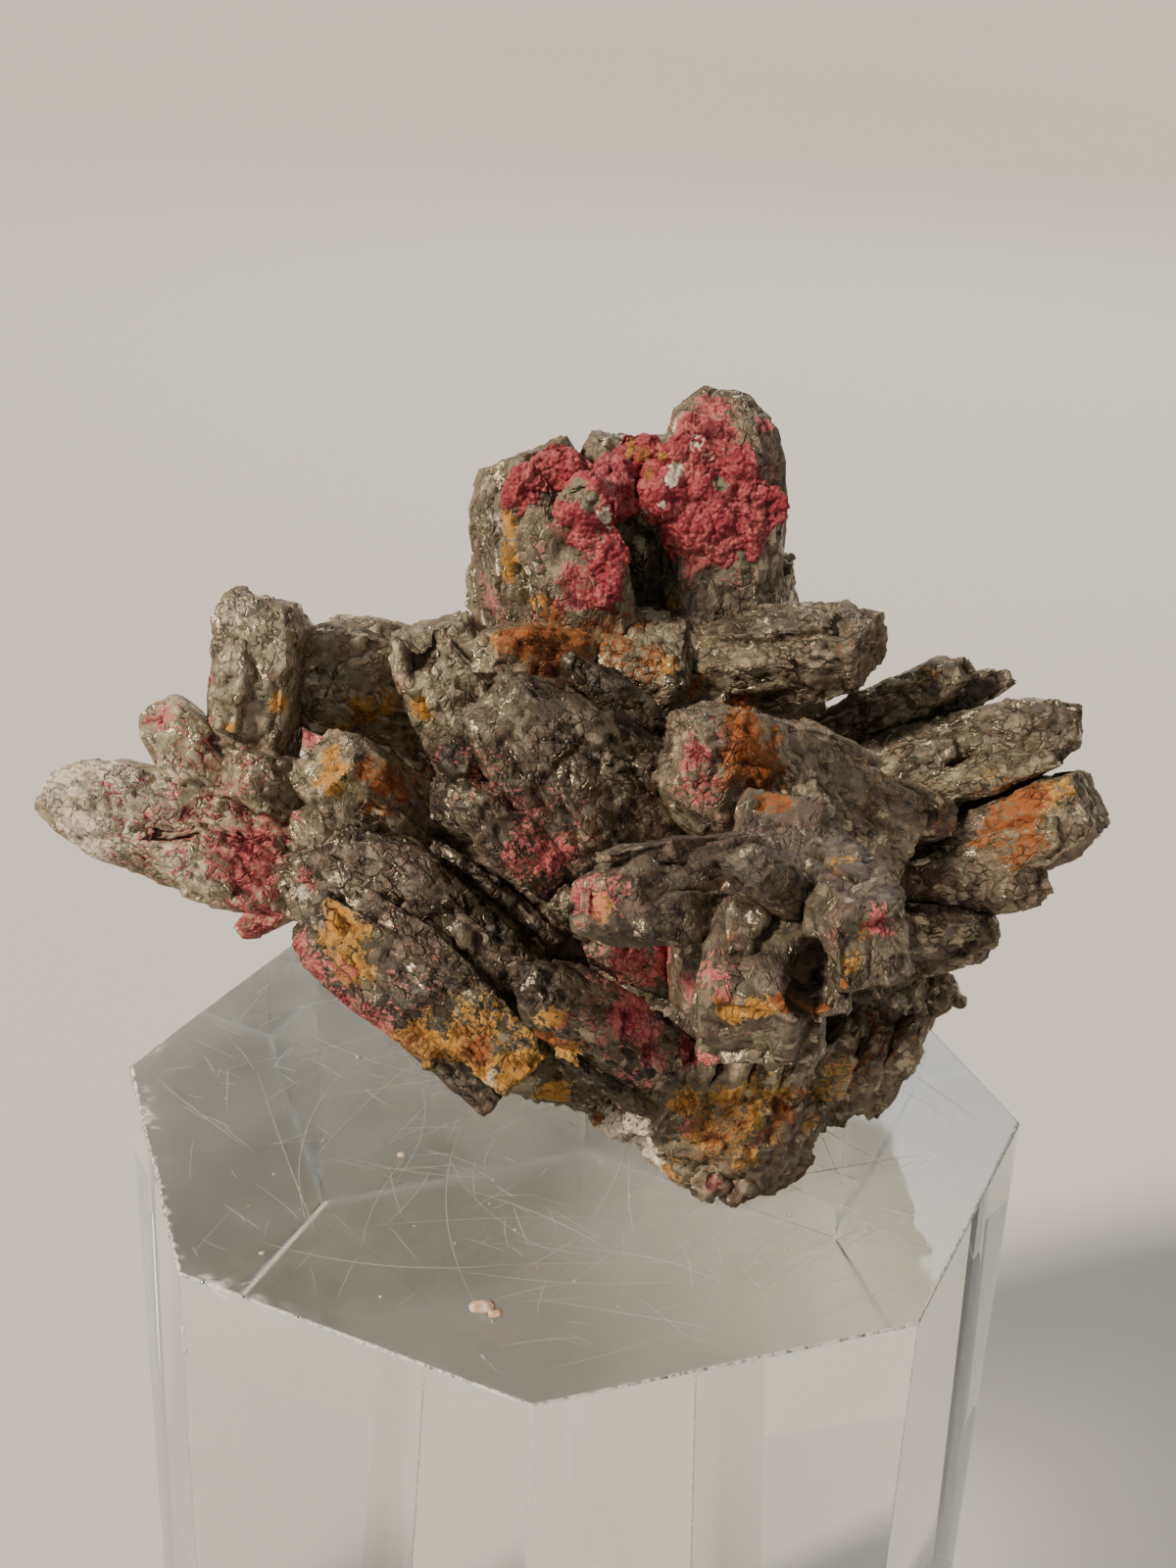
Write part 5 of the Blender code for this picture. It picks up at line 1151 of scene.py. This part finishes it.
class SPECIMEN_OT_stage(bpy.types.Operator):
    """Set the pale floor, the soft lights and the camera"""
    bl_idname = "specimen.stage"
    bl_label = "Stage"

    def execute(self, context):
        s = context.scene.stage_settings
        floor_sweep(s)
        sun = bpy.data.lights.new("key light", "SUN")
        sun.energy, sun.angle, sun.color = s.key, s.softness, s.warmth
        panel = bpy.data.lights.new("window light", "AREA")
        panel.shape, panel.size, panel.energy = "SQUARE", WINDOW_SIZE, s.window
        for lamp, place in ((sun, SUN_PLACE), (panel, WINDOW_PLACE)):
            holder = bpy.data.objects.new(lamp.name, lamp)
            way = Vector(LAMP_TARGET) - Vector(place)
            holder.matrix_world = Matrix.Translation(place) @ way.to_track_quat("-Z", "Y").to_matrix().to_4x4()
            context.scene.collection.objects.link(holder)
        world = bpy.data.worlds.new("soft room light")
        world.use_nodes = True
        background = world.node_tree.nodes["Background"]
        background.inputs["Color"].default_value = (*s.room, 1)
        background.inputs["Strength"].default_value = s.room_light
        context.scene.world = world
        camera = bpy.data.cameras.new("camera")
        camera.sensor_width = 36.0
        camera.lens = CAMERA_LENS
        camera.clip_start = 0.005
        camera.clip_end = 80.0
        holder = bpy.data.objects.new("camera", camera)
        facing = Matrix((CAMERA_RIGHT, CAMERA_UP, [-part for part in CAMERA_AXIS])).transposed().to_4x4()
        holder.matrix_world = Matrix.Translation(CAMERA_PLACE) @ facing
        context.scene.collection.objects.link(holder)
        context.scene.camera = holder
        return {"FINISHED"}


# The camera, in metres and unit directions
CAMERA_PLACE = (0.00544, -0.11853, 0.13754)
CAMERA_AXIS = (-0.03917, 0.91241, -0.40740)
CAMERA_RIGHT = (0.99755, 0.05938, 0.03708)
CAMERA_UP = (-0.05802, 0.40495, 0.91250)
CAMERA_LENS = 44.245

# The lights, in metres: the key stands far off at the upper left, the window behind at the right
LAMP_TARGET = (0.0, 0.0, 0.085)
SUN_PLACE = (-0.9, -0.55, 0.85)
WINDOW_PLACE = (0.14, 0.80, 0.62)
WINDOW_SIZE = 0.32


def floor_sweep(s):
    """The floor: a flat sheet that curves up behind into a wall, as a profile carried sideways. The profile is
    straight, then a quarter circle, then straight up."""
    radius, flat, wall, half = 8.0, 20.0, 16.0, 30.0
    turn = np.linspace(0.0, math.pi / 2, 49)
    y = np.concatenate(([-20.0], flat + radius * np.sin(turn), [flat + radius]))
    z = np.concatenate(([0.0], radius * (1 - np.cos(turn)), [wall])) - 0.0002
    x = np.linspace(-half, half, 3)
    points = np.stack(np.broadcast_arrays(x[None, :], y[:, None], z[:, None]), axis=-1)
    index = np.arange(points.size // 3).reshape(points.shape[:2])
    quads = np.stack((index[:-1, :-1], index[:-1, 1:], index[1:, 1:], index[1:, :-1]), axis=-1).reshape(-1, 4)
    mesh = bpy.data.meshes.new("floor")
    mesh.from_pydata(points.reshape(-1, 3).tolist(), [], quads.tolist())
    mesh.shade_smooth()
    # Matt paint, rolled on: even, with the faintest clouding
    material, tree, shader = new_material("matt painted floor")
    node = partial(add, tree)
    where = node("ShaderNodeTexCoord", out="Object")
    slow = node("ShaderNodeTexNoise", {0: where, "Scale": 0.8})
    share = node("ShaderNodeMapRange", {0: slow, 1: 0.3, 2: 0.7}, **EASED)
    colour = node("ShaderNodeMix", {0: share, MIX_A: (*s.floor, 1), MIX_B: (*s.floor_cloud, 1)}, **BLEND)
    tree.links.new(colour, shader.inputs["Base Color"])
    shader.inputs["Roughness"].default_value = 0.85
    mesh.materials.append(material)
    floor = bpy.data.objects.new("floor", mesh)
    bpy.context.scene.collection.objects.link(floor)


# The block's grid: how finely its outline is cut, side by side from the corner at the right, and the rows of
# the profile as (how far in from the outline, how far below the top)
BLOCK_SIDES = 8
CORNER_CUTS = 4
SIDE_CUTS = (8, 8, 8, 20, 90, 84, 30, 20)
CHIPPED_CORNER = 5
TOP_ROWS = (0.35, 0.55, 0.8, 1.1, 1.5, 2.0, 2.8, 4.0)
SIDE_ROWS = np.concatenate(
    (np.arange(0.35, 6.0, 0.28), np.arange(6.0, 14.0, 0.6), np.arange(14.0, 30.0, 1.6), (44.0,)))

# Chips: how deep, how far from the edge they reach, and how far along the edges from the worst corner
CHIP_DEPTH = 0.12
CHIP_REACH = 0.34
CHIP_RUN = 6.0
CHIP_DROP = 9.0


def block_profile(ease, depth):
    """The rows of the block's surface from its underside to its top, as (inset, height) pairs: a flat, a
    quarter circle round the eased edge, the side, another quarter circle, and a flat."""
    turn = np.radians(np.linspace(0.0, 90.0, 4))
    close = 0.03
    inset = np.concatenate((ease * (1 - np.cos(turn)), [ease + close], TOP_ROWS))
    climb = np.concatenate((-ease * (1 - np.sin(turn)), [0.0], np.zeros(len(TOP_ROWS))))
    side = np.stack((np.zeros(len(SIDE_ROWS)), -SIDE_ROWS[::-1]), axis=1)
    top = np.stack((inset, climb), axis=1)
    foot = top[:5][::-1] * (1, -1) - (0.0, depth)
    near = np.array(((0.0, -ease - close),))
    return np.concatenate((foot, np.array(((0.0, ease + close - depth),)), side, near, top))


def block_surface(ease):
    """The clear block as a profile carried round an outline. The outline is a regular octagon whose corners
    are small arcs. Each row is the outline shrunk evenly by its inset; its height comes from the profile.
    Ragged noise pushes points near the worn edges in and down, and the frosting on them follows its depth. The eased
    top edges and the upright corners are also whitened, as painted highlights."""
    apothem = (BLOCK_HIGH[0] - BLOCK_LOW[0]) / 2 / MM * math.cos(math.pi / BLOCK_SIDES) + BLOCK_SLACK
    radius = apothem / math.cos(math.pi / BLOCK_SIDES)
    half_turn = math.pi / BLOCK_SIDES
    arc = np.linspace(-half_turn, half_turn, CORNER_CUTS)
    outline = []
    for i, cuts in enumerate(SIDE_CUTS):
        middle, after = 2 * half_turn * i, 2 * half_turn * (i + 1)
        centre = (radius - ease / math.cos(half_turn)) * np.array((math.cos(middle), math.sin(middle)))
        bend = centre + ease * np.stack((np.cos(middle + arc), np.sin(middle + arc)), axis=1)
        following = (radius - ease / math.cos(half_turn)) * np.array((math.cos(after), math.sin(after)))
        last = following + ease * np.array((math.cos(after - half_turn), math.sin(after - half_turn)))
        part = (np.arange(1, cuts) / cuts)[:, None]
        outline.append(np.concatenate((bend, bend[-1] + (last - bend[-1]) * part)))
    outline = np.concatenate(outline)
    depth = (BLOCK_HIGH[2] - BLOCK_LOW[2]) / MM
    inset, height = block_profile(ease, depth).T
    flat = outline[None] * (1 - inset / apothem)[:, None, None]
    grid = np.concatenate((flat, np.broadcast_to(height[:, None, None], (*flat.shape[:2], 1))), axis=2)
    poles = np.array(((0.0, 0.0, -depth), (0.0, 0.0, 0.0)))
    points = grid.reshape(-1, 3)

    worn = 2 * half_turn * CHIPPED_CORNER
    corner = radius * np.array((math.cos(worn), math.sin(worn)))
    before = np.array((math.cos(worn - half_turn), math.sin(worn - half_turn)))
    away = np.linalg.norm(points[:, :2] - corner, axis=1)
    on_worn_side = smooth_step(points[:, :2] @ before, apothem - 4.0, apothem - 2.0)
    edge = np.repeat(np.maximum(inset, -height), len(outline))
    along = np.maximum(0.95 * on_worn_side, np.exp(-(away / CHIP_RUN) ** 2)) + 0.10
    ragged = 0.55 * noise(points, 1.1, 51) + 0.45 * noise(points, 0.42, 52)
    down_edge = np.exp(points[:, 2] / CHIP_DROP) * (1 - smooth_step(away, 0.1, CHIP_REACH))
    bite = along * (1 - smooth_step(edge, 0.02, CHIP_REACH))
    bite = np.maximum(bite, 0.8 * down_edge) * smooth_step(ragged, 0.48, 0.70)
    inwards = np.concatenate((-points[:, :2] / np.linalg.norm(points[:, :2], axis=1)[:, None],
                              -0.8 * np.ones((len(points), 1))), axis=1)
    scuffed = along * (1 - smooth_step(edge, 0.2, 1.4)) * smooth_step(noise(points, 0.55, 53), 0.62, 0.88)
    frost = np.maximum(smooth_step(bite, 0.05, 0.35), 0.8 * scuffed)
    # Painted highlight: a broken white line along the eased top edges
    frost = np.maximum(frost, 0.8 * (edge < ease * 0.9) * (points[:, 2] > -ease))
    # Painted highlight: white down the upright corners, below the eased edge
    starts = np.cumsum((0, *SIDE_CUTS[:-1])) + (CORNER_CUTS - 1) * np.arange(BLOCK_SIDES)
    upright = np.zeros(len(outline))
    upright[(starts[:, None] + np.arange(1, CORNER_CUTS - 1)).ravel()] = 0.5
    frost = np.maximum(frost, np.tile(upright, len(inset)) * (edge > ease) * (points[:, 2] < -ease))
    moved = points + inwards * (CHIP_DEPTH * bite * (points[:, 2] > 2 - depth))[:, None]
    quads, fans = grid_faces(*grid.shape[:2])
    ends = np.zeros(2)
    fields = {"frost": np.concatenate((frost, ends)), "top": np.concatenate(((points[:, 2] > -0.01) * 1.0, (0.0, 1.0)))}
    everything = np.concatenate((moved, poles))
    return everything, quads, fans, fields, everything


def acrylic_material():
    """Cast acrylic, sawn and polished: clear, with a fine haze of wear on top that softens what it mirrors,
    and frosted white where its edges are chipped. The same white, less clear, is painted along its eased
    top edges and upright corners as highlights."""
    s = bpy.context.scene.block_settings
    material, tree, shader = new_material("cast acrylic, polished and worn")
    node = partial(add, tree)
    where = node("ShaderNodeTexCoord", out="Object")
    # Chips and scuffs, plus the painted highlights along the eased top edges and upright corners
    frost = node("ShaderNodeAttribute", out="Fac", attribute_name="frost")
    top = node("ShaderNodeAttribute", out="Fac", attribute_name="top")
    wide = node("ShaderNodeTexNoise", {0: where, "Scale": per_mm(9.0), "Detail": 5.0, "Roughness": 0.6})
    fine = node("ShaderNodeTexNoise", {0: where, "Scale": per_mm(0.5), "Detail": 4.0, "Roughness": 0.7})
    haze = node("ShaderNodeMapRange", {0: wide, 1: 0.35, 2: 0.70}, **EASED)
    haze = node("ShaderNodeMath", {0: haze, 1: top}, operation="MULTIPLY")
    grain = node("ShaderNodeMapRange", {0: fine, 1: 0.3, 2: 0.6}, **EASED)
    frost = node("ShaderNodeMath", {0: frost, 1: grain}, operation="MULTIPLY")
    white = node("ShaderNodeMath", {0: haze, 1: 0.10, 2: frost}, operation="MULTIPLY_ADD", use_clamp=True)
    colour = node("ShaderNodeMix", {0: white, MIX_A: (*s.clear, 1), MIX_B: (*s.frost, 1)}, **BLEND)
    tree.links.new(colour, shader.inputs["Base Color"])
    through = node("ShaderNodeMath", {0: white, 1: -0.92, 2: 1.0}, operation="MULTIPLY_ADD")
    tree.links.new(through, shader.inputs["Transmission Weight"])
    rough = node("ShaderNodeMath", {0: haze, 1: 0.10, 2: 0.02}, operation="MULTIPLY_ADD")
    rough = node("ShaderNodeMath", {0: frost, 1: 0.5, 2: rough}, operation="MULTIPLY_ADD")
    tree.links.new(rough, shader.inputs["Roughness"])
    shader.inputs["IOR"].default_value = 1.49
    bump = node("ShaderNodeMath", {0: fine, 1: frost}, operation="MULTIPLY")
    tree.links.new(node("ShaderNodeBump", {"Strength": 1.0, "Distance": 0.08 * MM, "Height": bump}),
                   shader.inputs["Normal"])
    return material


class SPECIMEN_OT_block(bpy.types.Operator):
    """Cast the clear block, with its eased edges and chips"""
    bl_idname = "specimen.block"
    bl_label = "Clear block"

    def execute(self, context):
        surface = block_surface(context.scene.block_settings.ease / MM)
        piece_of("display_block", [surface], acrylic_material(), "clear_acrylic", "clear_block")
        return {"FINISHED"}


# Scratches: how many, how long in millimetres, how far they bend, how wide, and how high above the top
SCRATCHES = (("long", 150, (3.0, 13.0), 0.22, (0.035, 0.075)), ("short", 380, (0.4, 3.0), 0.12, (0.03, 0.06)))
SCRATCH_POINTS = 11
SCRATCH_HEIGHT = 0.012


def scratch_surfaces(seed):
    """Hair-thin ridges on the block's top. Each follows a shallow arc: its middle, plus its half length times
    a share from -1 to 1 along its heading, plus its bend times that share squared across it. Its width is
    full in the middle and nothing at the ends. Those that would pass the edge are left out."""
    chance = np.random.default_rng(seed)
    apothem = (BLOCK_HIGH[0] - BLOCK_LOW[0]) / 2 / MM * math.cos(math.pi / BLOCK_SIDES)
    turns = 2 * math.pi * (np.arange(BLOCK_SIDES) + 0.5) / BLOCK_SIDES
    share = np.linspace(-1.0, 1.0, SCRATCH_POINTS)[None, :, None]
    for _, count, lengths, bend, widths in SCRATCHES:
        middle = chance.uniform(-apothem, apothem, (count, 1, 2))
        heading = chance.uniform(0.0, math.pi, count)
        half = chance.uniform(*lengths, count)[:, None, None]
        way = np.stack((np.cos(heading), np.sin(heading)), axis=1)[:, None]
        aside = way[..., ::-1] * (-1, 1)
        arc = chance.uniform(-bend, bend, count)[:, None, None] * half
        path = middle + way * half * share + aside * arc * share ** 2
        inside = (path @ np.stack((np.cos(turns), np.sin(turns)))).max((1, 2)) < apothem - 0.8
        wide = chance.uniform(*widths, count)[:, None, None] * np.sqrt(np.maximum(1 - share ** 2, 0.0))
        left, right = path - aside * wide / 2, path + aside * wide / 2
        for line in np.flatnonzero(inside):
            low = np.full((SCRATCH_POINTS, 1), -0.003)
            rim = [np.concatenate((left[line], low), 1),
                   np.concatenate((path[line], low + wide[line] / 0.07 * SCRATCH_HEIGHT), 1),
                   np.concatenate((right[line], low), 1)]
            grid = np.stack(rim, axis=1)[1:-1]
            poles = np.concatenate((path[line][[0, -1]], low[:2]), 1)
            points = np.concatenate((grid.reshape(-1, 3), poles))
            yield (points, *grid_faces(*grid.shape[:2]), {}, points)


class SPECIMEN_OT_scratches(bpy.types.Operator):
    """Score the fine curved scratches into the block's top"""
    bl_idname = "specimen.scratches"
    bl_label = "Scratches"

    def execute(self, context):
        # Scored acrylic: the groove's broken walls scatter white light
        material, _, shader = new_material("scored acrylic")
        shader.inputs["Base Color"].default_value = (*context.scene.block_settings.frost, 1)
        shader.inputs["Roughness"].default_value = 0.55
        shader.inputs["Transmission Weight"].default_value = 0.35
        shader.inputs["IOR"].default_value = 1.49
        piece_of("scratches", list(scratch_surfaces(7)), material, "clear_acrylic")
        return {"FINISHED"}


# Crumbs on the block: where on its top, and their radii, in millimetres
CRUMBS = (
    ((-3.7, -24.3), (1.05, 0.62, 0.22)), ((-11.0, -9.2), (0.30, 0.26, 0.18)), ((-16.0, 2.8), (0.18, 0.16, 0.12)),
    ((-2.9, -24.9), (0.5, 0.45, 0.16)), ((-18.2, -20.6), (0.22, 0.12, 0.10)),
)
DUST = 46
DUST_SIZE = (0.05, 0.12)


class SPECIMEN_OT_crumbs(bpy.types.Operator):
    """Drop a flake and some crumbs of matrix and dust on the block"""
    bl_idname = "specimen.crumbs"
    bl_label = "Crumbs"

    def execute(self, context):
        s = context.scene.block_settings
        chance = np.random.default_rng(11)
        spots = list(CRUMBS)
        for x, y, size in zip(chance.uniform(-26, 20, DUST), chance.uniform(-26, 4, DUST),
                              chance.uniform(*DUST_SIZE, DUST)):
            if abs(x) + abs(y) < 37:
                spots.append(((x, y), (size, size * 0.8, size * 0.6)))
        surfaces = []
        for i, ((x, y), radii) in enumerate(spots):
            rings = lump_rings((x, y, radii[2] * 0.8), radii, CRUST_SIDES, CRUST_RINGS, f"crumb_{i}", 0.22)
            grid, poles = grid_of(rings, max(radii) / 3)
            points = np.concatenate((grid.reshape(-1, 3), poles))
            points[:, 2] = np.maximum(points[:, 2], -0.002)
            surfaces.append((points, *grid_faces(*grid.shape[:2]), {}, points))
        # Loose matrix: earthy cream to tan grains, dull and lightly mottled
        material, tree, shader = new_material("crumbs of pale matrix")
        node = partial(add, tree)
        where = node("ShaderNodeTexCoord", out="Object")
        mottle = node("ShaderNodeTexNoise", {0: where, "Scale": per_mm(0.5), "Detail": 4.0})
        slow = node("ShaderNodeTexNoise", {0: where, "Scale": per_mm(6.0)})
        share = node("ShaderNodeMath", {0: mottle, 1: slow}, operation="ADD")
        share = node("ShaderNodeMapRange", {0: share, 1: 0.85, 2: 1.15}, **EASED)
        colour = node("ShaderNodeMix", {0: share, MIX_A: (*s.crumb, 1), MIX_B: (*s.dust, 1)}, **BLEND)
        tree.links.new(colour, shader.inputs["Base Color"])
        tree.links.new(node("ShaderNodeMapRange", {0: mottle, 3: 0.7, 4: 0.95}), shader.inputs["Roughness"])
        tree.links.new(node("ShaderNodeBump", {"Strength": 0.8, "Distance": 0.05 * MM, "Height": mottle}),
                       shader.inputs["Normal"])
        piece_of("crumbs", surfaces, material, "marcasite")
        return {"FINISHED"}


class SPECIMEN_PT_panel(bpy.types.Panel):
    """Lists the steps that build the specimen and its stage"""
    bl_idname = "SPECIMEN_PT_panel"
    bl_label = "Cinnabar on marcasite"
    bl_space_type = "VIEW_3D"
    bl_region_type = "UI"
    bl_category = "Specimen"

    def draw(self, context):
        for name in ("specimen_settings", "block_settings", "stage_settings"):
            settings = getattr(context.scene, name)
            for key in settings.bl_rna.properties.keys():
                if key not in ("rna_type", "name"):
                    self.layout.prop(settings, key)
        for operator in OPERATORS:
            self.layout.operator(operator.bl_idname)


OPERATORS = (
    SPECIMEN_OT_crystals, SPECIMEN_OT_matrix, SPECIMEN_OT_crust, SPECIMEN_OT_block, SPECIMEN_OT_scratches,
    SPECIMEN_OT_crumbs, SPECIMEN_OT_stage,
)
SETTINGS = {"specimen_settings": SpecimenSettings, "block_settings": BlockSettings, "stage_settings": StageSettings}


def register():
    for group in (*SETTINGS.values(), *OPERATORS, SPECIMEN_PT_panel):
        bpy.utils.register_class(group)
    for name, group in SETTINGS.items():
        setattr(bpy.types.Scene, name, PointerProperty(type=group))


def unregister():
    for name in SETTINGS:
        delattr(bpy.types.Scene, name)
    for group in reversed((*SETTINGS.values(), *OPERATORS, SPECIMEN_PT_panel)):
        bpy.utils.unregister_class(group)


def main():
    register()
    bpy.ops.specimen.crystals()
    bpy.ops.specimen.matrix()
    bpy.ops.specimen.crust()
    bpy.ops.specimen.block()
    bpy.ops.specimen.scratches()
    bpy.ops.specimen.crumbs()
    bpy.ops.specimen.stage()


if __name__ == "__main__":
    main()
